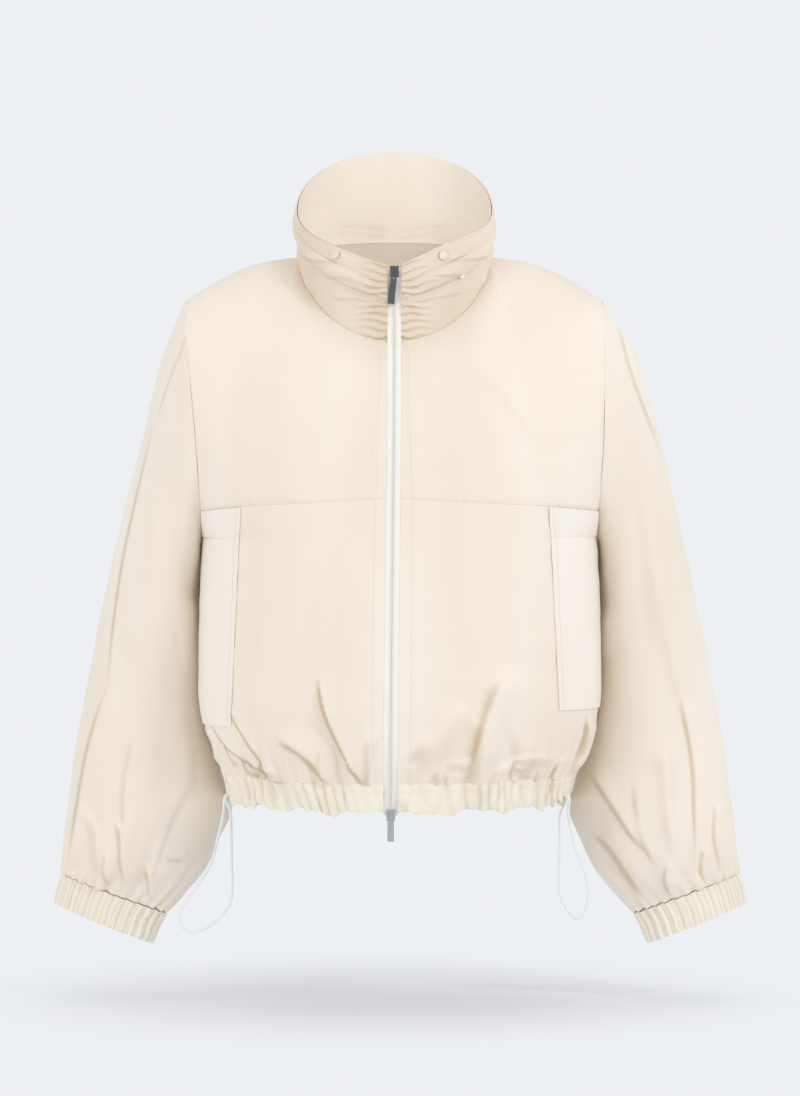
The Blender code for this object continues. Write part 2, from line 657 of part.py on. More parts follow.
def zip_strip(name, inner, outer, thick, look, top_z, low_z):
    """A flat strip of the zip between two distances from its middle line."""
    form = bmesh.new()
    spots = [spot for spot in zip_path() if low_z < spot.at < top_z]
    ends = [zip_spot(top_z)] + spots + [zip_spot(low_z)]
    rings = []
    for spot in ends:
        corners = []
        for across, deep in ((inner, 0), (outer, 0), (outer, thick), (inner, thick)):
            corners.append(form.verts.new((spot.x + across, spot.y - thick / 2 + deep + 0.6, spot.at)))
        rings.append(corners)
    for ring, after in zip(rings, rings[1:]):
        for i in range(4):
            j = (i + 1) % 4
            form.faces.new((ring[i], ring[j], after[j], after[i]))
    form.faces.new(rings[0])
    form.faces.new(rings[-1][::-1])
    return finished(name, form, look, smooth=False)


def zip_spot(z):
    spots = zip_path()
    at = [spot.at for spot in spots][::-1]
    y = float(np.interp(z, at, [spot.y for spot in spots][::-1]))
    x = float(np.interp(z, at, [spot.x for spot in spots][::-1]))
    return ZipSpot(z, y, x)


def block(form, low, high):
    """A box between two corners, as part of a mesh."""
    made = bmesh.ops.create_cube(form, size=1.0)["verts"]
    size = np.subtract(high, low)
    middle = (np.array(low) + np.array(high)) / 2
    bmesh.ops.scale(form, vec=size, verts=made)
    bmesh.ops.translate(form, vec=middle, verts=made)


PLATE_HALF_WIDTH, PLATE_HALF_HEIGHT, PLATE_THICK = 4.2, 5.5, 1.2
BAIL_HALF, BAIL_REACH, BAIL_THICK, BAIL_ROOM = 0.8, 3.2, 1.1, 2.7
NECK_HALF = 0.9


def united(name, boxes, look, cut=()):
    """One body from overlapping boxes, less the boxes to cut."""
    parts = []
    for group, operation in ((boxes, "UNION"), (cut, "DIFFERENCE")):
        for low, high in group:
            form = bmesh.new()
            block(form, low, high)
            parts.append((finished(name + "_piece", form, look, smooth=False), operation))
    base = parts[0][0]
    for tool, operation in parts[1:]:
        join = base.modifiers.new("join", "BOOLEAN")
        join.operation = operation
        join.object = tool
        join.solver = "EXACT"
    bpy.context.view_layer.update()
    evaluated = base.evaluated_get(bpy.context.evaluated_depsgraph_get())
    mesh = bpy.data.meshes.new_from_object(evaluated)
    for tool, _ in parts:
        bpy.data.objects.remove(tool, do_unlink=True)
    mesh.materials.clear()
    mesh.materials.append(look)
    made = bpy.data.objects.new(name, mesh)
    bpy.context.scene.collection.objects.link(made)
    return made


def slider(name, z, neck_up, look):
    """Front and back plates joined by a neck past the end of the coil, with the bail on the front."""
    spot = zip_spot(z)
    x = spot.x
    coil_front = spot.y + 0.6 - COIL_THICK / 2
    coil_back = coil_front + COIL_THICK
    front_y = coil_front - 0.3
    back_y = coil_back + 0.3
    neck_low = z + neck_up * (PLATE_HALF_HEIGHT - 2.2)
    neck_high = z + neck_up * PLATE_HALF_HEIGHT
    neck_z = sorted((neck_low, neck_high))
    face_y = front_y - PLATE_THICK
    bar_y = face_y - BAIL_ROOM
    boxes = [
        ((x - PLATE_HALF_WIDTH, face_y, z - PLATE_HALF_HEIGHT), (x + PLATE_HALF_WIDTH, front_y, z + PLATE_HALF_HEIGHT)),
        ((x - PLATE_HALF_WIDTH, back_y, z - PLATE_HALF_HEIGHT), (x + PLATE_HALF_WIDTH, back_y + 1, z + PLATE_HALF_HEIGHT)),
        ((x - NECK_HALF, front_y - 0.5, neck_z[0]), (x + NECK_HALF, back_y + 0.5, neck_z[1])),
        ((x - BAIL_HALF, bar_y - BAIL_THICK, z - BAIL_REACH), (x + BAIL_HALF, bar_y, z + BAIL_REACH)),
        ((x - BAIL_HALF, bar_y - 0.5, z - BAIL_REACH), (x + BAIL_HALF, face_y + 0.5, z - BAIL_REACH + 1)),
        ((x - BAIL_HALF, bar_y - 0.5, z + BAIL_REACH - 1), (x + BAIL_HALF, face_y + 0.5, z + BAIL_REACH)),
    ]
    united(name, boxes, look)
    return x, face_y - BAIL_ROOM / 2, z


LOOP_HALF_WIDTH, LOOP_BAR, PULL_THICK = 2.9, 1.3, 1.3
HOLE_HALF_WIDTH, HOLE_SHORT = 1.6, 1.2
TAB_HALF_WIDTH = 3.2
TOP_TAB_START, TOP_TAB_LENGTH = 8.0, 24.0
LOW_TAB_START, LOW_TAB_LENGTH = 5.8, 19.5


def pull(name, hinge, tilt, start, length, look):
    """Loop and tab in one flat piece, hung by the loop's top bar."""
    x, y, z = hinge
    back_y, front_y = -PULL_THICK / 2, PULL_THICK / 2
    top = LOOP_BAR / 2
    boxes = [
        ((-LOOP_HALF_WIDTH, back_y, -start - 1), (LOOP_HALF_WIDTH, front_y, top)),
        ((-TAB_HALF_WIDTH, back_y, -start - length), (TAB_HALF_WIDTH, front_y, -start)),
    ]
    hole = ((-HOLE_HALF_WIDTH, -2, HOLE_SHORT - start - top), (HOLE_HALF_WIDTH, 2, -top))
    made = united(name, boxes, look, cut=[hole])
    made.location = (x * MM, y * MM, z * MM)
    made.rotation_euler = (0, math.radians(tilt), 0)
    return made


def disc(name, centre, direction, radius, thick, look, crown=0.0, sides=16):
    """A round cap on its own axis, crowned at the outer side."""
    form = bmesh.new()
    out = unit(np.array(direction, float))
    across = unit(np.cross(out, (0, 0, 1)))
    up = np.cross(across, out)
    profile = [(0.0, radius), (thick * 0.6, radius), (thick + crown * 0.5, radius * 0.75)]
    rings = []
    for depth, size in profile:
        ring = []
        for k in range(sides):
            angle = 2 * math.pi * k / sides
            spot = np.array(centre) + out * depth + size * (across * math.cos(angle) + up * math.sin(angle))
            ring.append(form.verts.new(spot))
        rings.append(ring)
    top = form.verts.new(np.array(centre) + out * (thick + crown))
    for ring, after in zip(rings, rings[1:]):
        for k in range(sides):
            j = (k + 1) % sides
            form.faces.new((ring[k], ring[j], after[j], after[k]))
    for k in range(sides):
        form.faces.new((rings[-1][k], rings[-1][(k + 1) % sides], top))
    form.faces.new(rings[0][::-1])
    return finished(name, form, look)


def eyelet(name, centre, direction, radius, hole, thick, look, sides=14):
    """A sewn oval ring, wider than high, that faces a direction."""
    form = bmesh.new()
    out = unit(np.array(direction, float))
    across = unit(np.cross(out, (0, 0, 1)))
    up = np.cross(across, out)
    rings = []
    for depth, size in ((0, hole), (0, radius), (thick, radius * 0.86), (thick, hole * 1.1)):
        ring = []
        for k in range(sides):
            angle = 2 * math.pi * k / sides
            round_ring = across * math.cos(angle) * 1.5 + up * math.sin(angle)
            spot = np.array(centre) + out * depth + size * round_ring
            ring.append(form.verts.new(spot))
        rings.append(ring)
    for i in range(4):
        ring, after = rings[i], rings[(i + 1) % 4]
        for k in range(sides):
            j = (k + 1) % sides
            form.faces.new((ring[k], ring[j], after[j], after[k]))
    return finished(name, form, look)


SNAP_TURN = {LEFT: -35.5, RIGHT: 28.5}
SNAP_HEIGHT = 0.885
SNAP_RADIUS, SNAP_THICK, SNAP_CROWN, SNAP_GAP = 4.6, 1.6, 0.5, 0.7


def snap(side, name):
    """Cap pressed on the collar band."""
    turn = np.array(math.radians(SNAP_TURN[side]))
    at = collar_point(turn, np.array(SNAP_HEIGHT))
    out = np.array([math.sin(turn), -math.cos(turn), 0.0])
    lift = np.array([0, 0, 1]) * 0.12
    seat = at + out * (LAID_ON + BAND_THICK + SNAP_GAP)
    disc("collar_snap_" + name, seat, out + lift, SNAP_RADIUS, SNAP_THICK, SNAP, crown=SNAP_CROWN)


CORD_DIAMETER = 2.8
STRAND_APART = 1.6
# Free drawcord loops, by points down the outer strand and back up the inner one, in front view
LEFT_LOOP = (
    (-169.5, -548), (-173, -565), (-179.5, -592), (-184, -603), (-197, -623), (-207.5, -638),
    (-212.5, -647), (-213, -655), (-210, -662), (-201, -666.5), (-188, -663.5), (-175, -653.5), (-164.5, -640.5),
    (-161, -626.5), (-161.5, -594), (-162, -565), (-162.5, -548),
)
RIGHT_LOOP = (
    (164, -548), (163.4, -562), (163, -594), (162.5, -616), (164.3, -631), (171, -643),
    (176.5, -650), (182.5, -651), (189, -643), (191.5, -626.5), (189, -610), (183.5, -594), (178, -579),
    (174, -562), (171.5, -548),
)
EYELET_X = {LEFT: -160.5, RIGHT: 166.0}
EYELET_ROW = 27.2
EYELET_LIFT = {LEFT: 1.15, RIGHT: -0.3}
EYELET_REACH = 8.0
EYELET_RADIUS, EYELET_HOLE, EYELET_THICK = 3.9, 2.6, 1.4


def smooth_route(route, spacing):
    """Evenly spaced points on a smooth curve through a route's own points."""
    route = np.array(route, float)
    padded = np.vstack([2 * route[0] - route[1], route, 2 * route[-1] - route[-2]])
    dense = []
    for p0, p1, p2, p3 in zip(padded, padded[1:], padded[2:], padded[3:]):
        for t in np.linspace(0, 1, 12, endpoint=False):
            bend = 2 * p0 - 5 * p1 + 4 * p2 - p3
            twist = 3 * p1 - p0 - 3 * p2 + p3
            dense.append((2 * p1 + (p2 - p0) * t + bend * t**2 + twist * t**3) / 2)
    dense = np.vstack([dense, route[-1]])
    run = np.concatenate([[0], np.cumsum(np.linalg.norm(np.diff(dense, axis=0), axis=1))])
    places = np.linspace(0, run[-1], max(2, round(run[-1] / spacing)))
    return np.stack([np.interp(places, run, dense[:, k]) for k in range(3)], axis=1)


def cord(name, route, spacing=3 * CORD_DIAMETER):
    curve = bpy.data.curves.new(name, "CURVE")
    curve.dimensions = "3D"
    curve.bevel_depth = CORD_DIAMETER / 2 * MM
    curve.bevel_resolution = 2
    curve.use_fill_caps = True
    spots = smooth_route(route, spacing)
    spline = curve.splines.new("POLY")
    spline.points.add(len(spots) - 1)
    for point, spot in zip(spline.points, spots):
        point.co = (*(spot * MM), 1)
    curve.materials.append(CORD)
    made = bpy.data.objects.new(name, curve)
    bpy.context.scene.collection.objects.link(made)
    return made


def drawcord(side, name, loop):
    """Eyelet on the hem casing and the loop of cord that hangs out of it."""
    places = np.linspace(0.5, 1, 201)
    rows = np.full_like(places, EYELET_ROW)
    line = body_point(FRONT, side, rows, places, folded=False)
    share = places[int(np.argmin(np.abs(line[:, 0] - EYELET_X[side])))]
    row, share = np.array(EYELET_ROW), np.array(share)
    out = unit(flat(body_facing(FRONT, side, row, share, folded=False), 2))
    seat = body_point(FRONT, side, row, share, folded=False) + out * EYELET_LIFT[side]
    eyelet("hem_eyelet_" + name, seat, out, EYELET_RADIUS, EYELET_HOLE, EYELET_THICK, RIB_CLOTH)
    aside = unit(np.cross(out, (0, 0, 1))) * STRAND_APART
    aside *= 1 if aside[0] * (loop[0][0] - loop[-1][0]) > 0 else -1
    hang_y = seat[1] + out[1] * EYELET_REACH
    ends = []
    for strand in (aside, -aside):
        start = seat + strand + out * 0.3
        ends.append([start, start + out * 3, start + out * 6.5 + np.array([0, 0, -3.5])])
    hanging = [np.array([x, hang_y, z]) for x, z in loop]
    cord("drawcord_" + name, ends[0] + hanging + ends[1][::-1])


def collar_cord_end():
    """Short end of the collar's cord, under the roll."""
    turn = math.radians(42)
    at = collar_point(np.array(turn), np.array(ROLL_LOW - 0.03))
    out = np.array([math.sin(turn), -math.cos(turn), 0.0])
    start = at + out * 2.2 + np.array([1.5, 0, 2.7])
    end = start + out * 3.4 + np.array([-6.5, 0, -2.8])
    middle = (start + end) / 2 + out * 0.8
    cord("collar_cord_end", (start, middle, end), spacing=CORD_DIAMETER)


front(LEFT, "left")
front(RIGHT, "right")
back()
hem_casing()
sleeve(LEFT, "left")
sleeve(RIGHT, "right")
collar()
zip_strip("zip_tape_left", -ZIP_HALF + 0.3, -TAPE_INNER, TAPE_THICK, TAPE, TAPE_TOP_Z, TAPE_LOW_Z)
zip_strip("zip_tape_right", TAPE_INNER, ZIP_HALF - 0.3, TAPE_THICK, TAPE, TAPE_TOP_Z, TAPE_LOW_Z)
coil_top = SLIDER_TOP_Z + PLATE_HALF_HEIGHT - 2.5
coil_low = SLIDER_LOW_Z - PLATE_HALF_HEIGHT + 2.5
zip_strip("zip_coil", -COIL_HALF, COIL_HALF, COIL_THICK, COIL, coil_top, coil_low)
top_hinge = slider("top_slider", SLIDER_TOP_Z, 1, DARK_METAL)
low_hinge = slider("bottom_slider", SLIDER_LOW_Z, -1, PALE_METAL)
pull("top_pull", top_hinge, 6, TOP_TAB_START, TOP_TAB_LENGTH, DARK_METAL)
pull("bottom_pull", low_hinge, 0, LOW_TAB_START, LOW_TAB_LENGTH, PALE_METAL)
snap(LEFT, "left")
snap(RIGHT, "right")
drawcord(LEFT, "left", LEFT_LOOP)
drawcord(RIGHT, "right", RIGHT_LOOP)
collar_cord_end()
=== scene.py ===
"""Looks of the cropped water-repellent jacket: cloth with its creases, seams, zip, gathers and cords.

The cloth shells follow the same surfaces as the solids, in millimetres, and gain finer folds on them.
The front faces -Y. LEFT is at -X, the left of the picture.
"""

import math
from collections import namedtuple

import bpy
import numpy as np
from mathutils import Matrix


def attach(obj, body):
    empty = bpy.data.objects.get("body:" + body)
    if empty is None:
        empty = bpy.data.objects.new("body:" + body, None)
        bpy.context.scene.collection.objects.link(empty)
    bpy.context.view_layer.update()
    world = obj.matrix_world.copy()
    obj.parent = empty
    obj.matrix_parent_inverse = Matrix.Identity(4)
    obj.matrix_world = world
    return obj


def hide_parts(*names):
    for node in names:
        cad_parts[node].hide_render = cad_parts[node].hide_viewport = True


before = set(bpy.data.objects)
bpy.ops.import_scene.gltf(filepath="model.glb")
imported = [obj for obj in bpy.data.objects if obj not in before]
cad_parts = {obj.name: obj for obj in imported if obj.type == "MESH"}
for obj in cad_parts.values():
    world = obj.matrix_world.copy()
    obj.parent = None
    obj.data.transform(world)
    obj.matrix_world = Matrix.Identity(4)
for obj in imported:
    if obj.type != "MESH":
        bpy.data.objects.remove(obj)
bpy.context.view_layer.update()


# Camera
# A long lens straight in front at mid height, which shows 1 mm of the jacket as about one pixel.
bpy.ops.object.camera_add(location=(0.0055, -4.0, -0.286), rotation=(math.radians(90), 0, 0))
camera = bpy.context.object
camera.name = "camera"
camera.data.lens = 131.6
camera.data.sensor_width = 36.0
bpy.context.scene.camera = camera
bpy.context.scene.view_settings.view_transform = "Standard"


# Drawcords and the collar's cord end
# Round elastic cord with a braided cover, 2.8 mm thick, in near-white polyester.
# Each drawcord loop goes through an eyelet at the hem; a short cut end shows under the collar's roll.
def linear(hex_colour):
    """A colour as the eye names it, sRGB, turned into the linear values that a shader takes."""
    channels = [int(hex_colour[i : i + 2], 16) / 255 for i in (0, 2, 4)]
    return (*[c / 12.92 if c <= 0.04045 else ((c + 0.055) / 1.055) ** 2.4 for c in channels], 1.0)


def add_node(tree, kind, settings=(), links=()):
    """One shader node: settings are (socket or property, value), links are (input socket, output socket)."""
    node = tree.nodes.new(kind)
    for name, value in settings:
        if isinstance(name, str) and hasattr(node, name):
            setattr(node, name, value)
        else:
            node.inputs[name].default_value = value
    for name, source in links:
        tree.links.new(source, node.inputs[name])
    return node


def new_material(name, settings):
    made = bpy.data.materials.new(name)
    made.use_nodes = True
    tree = made.node_tree
    shader = tree.nodes["Principled BSDF"]
    for socket, value in settings:
        shader.inputs[socket].default_value = value
    return made, tree, shader


def two_tone(tree, shader, dark, light, share):
    """Colours a shader between two colours, by a share from 0 to 1."""
    colour = add_node(
        tree, "ShaderNodeMix", (("data_type", "RGBA"), (6, linear(dark)), (7, linear(light))), ((0, share),)
    )
    tree.links.new(colour.outputs[2], shader.inputs["Base Color"])
    return colour


def raised_by(tree, shader, strength, distance, height):
    """Gives a shader a bump, whose distance is in metres."""
    bump = add_node(
        tree, "ShaderNodeBump", (("Strength", strength), ("Distance", distance)), (("Height", height),)
    )
    tree.links.new(bump.outputs[0], shader.inputs["Normal"])
    return bump


def braided_cord_material():
    """Near-white braid: fine crossing ridges, raised by a bump, with painted highlights where their colour
    turns lighter on the ridges.
    """
    made, tree, shader = new_material(
        "braided_elastic", (("Roughness", 0.55), ("Sheen Weight", 0.2), ("Sheen Roughness", 0.5))
    )
    place = add_node(tree, "ShaderNodeTexCoord").outputs["Object"]
    ridges = []
    for lean in (1, -1):
        leaned = add_node(
            tree, "ShaderNodeMapping", (("Rotation", (0.5 * lean, 0.6 * lean, 0)),), (("Vector", place),)
        )
        wave = add_node(
            tree, "ShaderNodeTexWave", (("Scale", 300.0), ("Distortion", 0.6)),
            (("Vector", leaned.outputs[0]),),
        )
        ridges.append(wave.outputs["Color"])
    braid = add_node(
        tree, "ShaderNodeMix", (("data_type", "FLOAT"), (0, 0.5)), ((2, ridges[0]), (3, ridges[1]))
    )
    # Painted highlight: the braid's ridges are coloured lighter than its hollows.
    two_tone(tree, shader, "E3E8E8", "FAFCFC", braid.outputs[0])
    raised_by(tree, shader, 0.5, 0.0002, braid.outputs[0])
    return made


def smooth_route(route, spacing):
    """Evenly spaced points on a smooth curve through a route's own points."""
    route = np.array(route, float)
    padded = np.vstack([2 * route[0] - route[1], route, 2 * route[-1] - route[-2]])
    dense = []
    for p0, p1, p2, p3 in zip(padded, padded[1:], padded[2:], padded[3:]):
        for t in np.linspace(0, 1, 12, endpoint=False):
            bend = 2 * p0 - 5 * p1 + 4 * p2 - p3
            twist = 3 * p1 - p0 - 3 * p2 + p3
            dense.append((2 * p1 + (p2 - p0) * t + bend * t**2 + twist * t**3) / 2)
    dense = np.vstack([dense, route[-1]])
    run = np.concatenate([[0], np.cumsum(np.linalg.norm(np.diff(dense, axis=0), axis=1))])
    places = np.linspace(0, run[-1], max(3, round(run[-1] / spacing)))
    return np.stack([np.interp(places, run, dense[:, k]) for k in range(3)], axis=1)


def cord(name, route, node, look):
    bpy.ops.object.select_all(action="DESELECT")
    bpy.ops.curve.primitive_bezier_curve_add()
    made = bpy.context.object
    made.name = name
    made.data.splines.clear()
    spots = smooth_route(route, 0.0028)
    spline = made.data.splines.new("POLY")
    spline.points.add(len(spots) - 1)
    for point, spot in zip(spline.points, spots):
        point.co = (*spot, 1)
    made.data.dimensions = "3D"
    made.data.bevel_depth = 0.0014
    made.data.bevel_resolution = 4
    made.data.use_fill_caps = True
    spline.use_smooth = True
    made.data.materials.append(look)
    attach(made, "garment")
    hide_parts(node)
    length = float(np.sum(np.linalg.norm(np.diff(spots, axis=0), axis=1)))
    return made, spots, length


LEFT_DRAWCORD = (
    (-0.16218, -0.02664, -0.53023), (-0.16514, -0.02716, -0.53023), (-0.16858, -0.02778, -0.53373),
    (-0.1695, -0.02956, -0.548), (-0.173, -0.02956, -0.565), (-0.1795, -0.02956, -0.592),
    (-0.184, -0.02956, -0.603), (-0.197, -0.02956, -0.623), (-0.2075, -0.02956, -0.638),
    (-0.2125, -0.02956, -0.647), (-0.213, -0.02956, -0.655), (-0.21, -0.02956, -0.662),
    (-0.201, -0.02956, -0.6665), (-0.188, -0.02956, -0.6635), (-0.175, -0.02956, -0.6535),
    (-0.1645, -0.02956, -0.6405), (-0.161, -0.02956, -0.6265), (-0.1615, -0.02956, -0.594),
    (-0.162, -0.02956, -0.565), (-0.1625, -0.02956, -0.548), (-0.16802, -0.03093, -0.53373),
    (-0.16458, -0.03031, -0.53023), (-0.16162, -0.02979, -0.53023),
)
RIGHT_DRAWCORD = (
    (0.16543, -0.04587, -0.53038), (0.16822, -0.04697, -0.53038), (0.17148, -0.04825, -0.53388),
    (0.164, -0.04721, -0.548), (0.1634, -0.04721, -0.562), (0.163, -0.04721, -0.594),
    (0.1625, -0.04721, -0.616), (0.1643, -0.04721, -0.631), (0.171, -0.04721, -0.643),
    (0.1765, -0.04721, -0.65), (0.1825, -0.04721, -0.651), (0.189, -0.04721, -0.643),
    (0.1915, -0.04721, -0.6265), (0.189, -0.04721, -0.61), (0.1835, -0.04721, -0.594),
    (0.178, -0.04721, -0.579), (0.174, -0.04721, -0.562), (0.1715, -0.04721, -0.548),
    (0.17265, -0.04528, -0.53388), (0.1694, -0.04399, -0.53038), (0.16661, -0.04289, -0.53038),
)
COLLAR_CORD = ((0.06871, -0.06181, -0.01743), (0.06713, -0.06367, -0.01883), (0.06448, -0.06434, -0.02023))
braided = braided_cord_material()
for cord_name, cord_route in (("drawcord_left", LEFT_DRAWCORD), ("drawcord_right", RIGHT_DRAWCORD)):
    loop, loop_spots, loop_length = cord("braided_" + cord_name, cord_route, cord_name, braided)
cord("braided_collar_cord_end", COLLAR_CORD, "collar_cord_end", braided)


# Studio
# A pale floor in an even pale surround. The floor fades into the surround's colour, so no horizon shows.
# The key light is in front on the upper right, and a small fill light inside the body lights the neck.
def studio_floor_material():
    made, tree, shader = new_material("pale_floor", (("Base Color", linear("EDEFF3")), ("Roughness", 0.9)))
    place = add_node(tree, "ShaderNodeTexCoord").outputs["Object"]
    reach = add_node(tree, "ShaderNodeVectorMath", (("operation", "LENGTH"),), ((0, place),)).outputs["Value"]
    far = add_node(
        tree, "ShaderNodeMapRange",
        (("interpolation_type", "SMOOTHSTEP"), ("From Min", 0.1), ("From Max", 0.6)),
        (("Value", reach),),
    )
    glow = add_node(tree, "ShaderNodeEmission", (("Color", linear("EDEFF3")), ("Strength", 1.0)))
    mixed = add_node(
        tree, "ShaderNodeMixShader", (), ((0, far.outputs[0]), (1, shader.outputs[0]), (2, glow.outputs[0]))
    )
    tree.links.new(mixed.outputs[0], tree.nodes["Material Output"].inputs["Surface"])
    return made


bpy.ops.object.select_all(action="DESELECT")
bpy.ops.mesh.primitive_plane_add(size=12, location=(0, 0, -0.74))
floor = bpy.context.object
floor.name = "floor"
floor.data.materials.append(studio_floor_material())
world = bpy.data.worlds.new("surround")
bpy.context.scene.world = world
world.use_nodes = True
world.node_tree.nodes["Background"].inputs["Color"].default_value = linear("EDEFF3")
world.node_tree.nodes["Background"].inputs["Strength"].default_value = 1.0
for light_name, spot, target, watts, width in (
    ("key_light", (1.8, -1.7, 1.2), (0, 0, -0.3), 13.0, 0.5),
    ("side_light", (-2.0, -2.0, 0.1), (0, 0, -0.4), 8.0, 1.0),
    ("top_light", (0.0, 0.2, 1.9), (0, 0, 0), 1.5, 0.8),
    ("neck_fill", (0.0, -0.03, -0.1), (0, 0.06, 0.02), 0.035, 0.06),
):
    bpy.ops.object.light_add(type="AREA", location=spot)
    light = bpy.context.object
    light.name = light_name
    light.data.energy = watts
    light.data.size = width
    aim = np.array(target) - np.array(spot)
    light.rotation_euler = (
        math.atan2(math.hypot(aim[0], aim[1]), -aim[2]), 0, math.atan2(aim[1], aim[0]) - math.pi / 2
    )


# Cloth: yokes and lower fronts
# Light coated polyester, cut as two yokes and two lower fronts and sewn on a straight cross seam.
# Each shell is a fine grid moved on to the torso's surface, in millimetres, with listed creases on it.
MM = 0.001
ZIP_HALF = 7.0
FRONT, BACK = -1, 1
LEFT, RIGHT = -1, 1  # as the picture shows them, so LEFT is the wearer's right side
# Torso: one row for each level, from neckline (0) past underarm (14) and hem seam (26) to the hem edge (28)
BodyRow = namedtuple("BodyRow", "at front_z front_depth back_z back_depth half_width turn")
BODY = (
    BodyRow(0, -83, 78, 24, 76, 196, 55),
    BodyRow(4, -137, 101, -52, 100, 196, 58),
    BodyRow(7, -180, 113, -115, 112, 196, 63),
    BodyRow(11, -238, 121, -208, 122, 196, 77),
    BodyRow(14, -280, 125, -278, 126, 195.5, 89),
    BodyRow(17, -336, 129, -336, 129, 198, 90),
    BodyRow(20, -396, 132, -396, 130, 199, 90),
    BodyRow(23, -452, 133, -452, 129, 197, 90),
    BodyRow(25, -494, 127, -494, 123, 184, 90),
    BodyRow(26, -517, 119, -517, 117, 173, 90),
    BodyRow(28, -546, 117, -546, 115, 166, 90),
)
YOKE_ROW = 11
ARMHOLE_ROW = 14
HEM_ROW = 26
HEM_EDGE_ROW = 28
ROUNDNESS = 2.4
ARMHOLE_Z, ARMHOLE_HALF_HEIGHT, ARMHOLE_HALF_DEPTH = -157.0, 118.0, 76.0
ARMHOLE_X, ARMHOLE_LEAN = 201.5, 6.0
SIDE_SHIFT = 5.3  # the photographed jacket hangs a little to one side below the shoulders
ZIP_DRIFT = -3.5
SHOULDER_BULGE = 10.0
NECK_SHARE = 0.52  # share of a top edge that is neckline, the rest is shoulder seam
NECK_HALF_WIDTH, NECK_FRONT, NECK_BACK = 94.0, 78.0, 76.0
RIM_HALF_WIDTH, RIM_HALF_DEPTH, RIM_BACK_SHIFT = 96.5, 82.0, 3.0
RIM_MID_Z, RIM_TILT = 53.5, 64.5
RIM_RISE = {LEFT: 24.0, RIGHT: 38.0}
COLLAR_BULGE = 3.0
COLLAR_LEAN = 0.04
RUCHES, RUCHE_DEPTH, RUCHE_REACH = 9, 1.7, 11.0
ZIP_TURN = 4.3  # degrees round the collar from centre front to the zip's edge
# Large soft folds: from the deep end to the faint end, in front or back view; positive depth stands out
Fold = namedtuple("Fold", "x z to_x to_z bow width depth")
FRONT_FOLDS = (
    Fold(-30, -538, -74, -458, 8, 11, -6),
    Fold(-100, -538, -178, -474, -6, 10, -5),
    Fold(-62, -534, -104, -486, -6, 10, 5),
    Fold(-136, -528, -152, -458, 8, 9, -4),
    Fold(20, -515, 76, -440, 6, 14, -6),
    Fold(82, -532, 110, -420, -6, 13, 7),
    Fold(118, -520, 96, -450, 4, 10, -5),
    Fold(165, -535, 196, -462, 6, 11, -6),
)
BACK_FOLDS = (
    Fold(-150, -536, -120, -440, 6, 12, -6),
    Fold(-84, -534, -60, -456, -6, 11, 5),
    Fold(-20, -536, -44, -430, 6, 13, -6),
    Fold(46, -534, 30, -462, 5, 11, 5),
    Fold(96, -536, 128, -446, -8, 12, -6),
    Fold(160, -530, 176, -464, 4, 11, -5),
)
HEM_GATHER = 2.4
CUFF_GATHER = 1.6
# Sleeves: rings from armhole (0) past cuff seam (12) to cuff edge (14), by their outer and inner points
SleeveRow = namedtuple("SleeveRow", "at outer_x outer_z inner_x inner_z half_depth mid_y")
SLEEVE = (
    SleeveRow(0, 207.5, -39, 195.5, -275, 76, 0),
    SleeveRow(1, 223, -68, 199.8, -287, 80, 10),
    SleeveRow(2, 239, -101, 199, -302, 83, 20),
    SleeveRow(3, 255, -160, 198, -324, 83, 31),
    SleeveRow(4, 271, -222, 197, -353, 81, 39),
    SleeveRow(5, 286, -285, 196, -388, 77, 45),
    SleeveRow(6, 300, -348, 195.5, -428, 72, 49),
    SleeveRow(7, 312.5, -411, 191, -468, 68, 51),
    SleeveRow(8, 324.5, -473, 182, -508, 64, 50),
    SleeveRow(9, 332.5, -533, 171.5, -547, 60, 46),
    SleeveRow(10, 337.5, -573, 186, -578, 55, 42),
    SleeveRow(11, 339, -600, 204, -612, 45, 38),
    SleeveRow(12, 339.5, -614, 238, -650, 29, 36),
    SleeveRow(14, 347, -643, 254, -681, 26, 35),
)
CUFF_RING = 12
SLEEVE_FRONT_FOLDS = {
    LEFT: (
        Fold(-250, -625, -212, -545, -8, 11, -5),
        Fold(-318, -610, -306, -545, 6, 10, -4),
        Fold(-285, -560, -262, -330, 10, 18, -4),
        Fold(-200, -330, -218, -235, -4, 14, -5),
    ),
    RIGHT: (
        Fold(245, -640, 204, -560, -8, 11, -5),
        Fold(300, -612, 290, -470, 6, 12, -5),
        Fold(278, -620, 268, -505, -4, 11, 4),
        Fold(206, -340, 214, -225, 4, 14, -5),
    ),
}
SLEEVE_BACK_FOLDS = {
    LEFT: (Fold(-262, -630, -232, -540, 6, 12, -5), Fold(-300, -600, -285, -420, -8, 15, -4)),
    RIGHT: (Fold(270, -630, 238, -548, 6, 12, -5), Fold(318, -600, 300, -440, 8, 14, -4)),
}
SLEEVE_SIDES = 28


def along(table, column, where):
    """One column of a table as a smooth curve through its rows, read at one or many places."""
    at = np.array([row.at for row in table], float)
    values = np.array([getattr(row, column) for row in table], float)
    slopes = np.gradient(values, at)
    where = np.clip(np.asarray(where, float), at[0], at[-1])
    row = np.clip(np.searchsorted(at, where, side="right") - 1, 0, len(at) - 2)
    step = at[row + 1] - at[row]
    t = (where - at[row]) / step
    rest = 1 - t
    ends = (1 + 2 * t) * rest**2 * values[row] + (3 - 2 * t) * t**2 * values[row + 1]
    return ends + step * (t * rest**2 * slopes[row] - t**2 * rest * slopes[row + 1])


def eased(value):
    """A soft step from 0 to 1."""
    value = np.clip(value, 0, 1)
    return value * value * (3 - 2 * value)


def side_shift(z):
    return SIDE_SHIFT * eased((-40 - z) / 160)


def zip_x(z):
    return ZIP_DRIFT * eased((-80 - z) / 460)


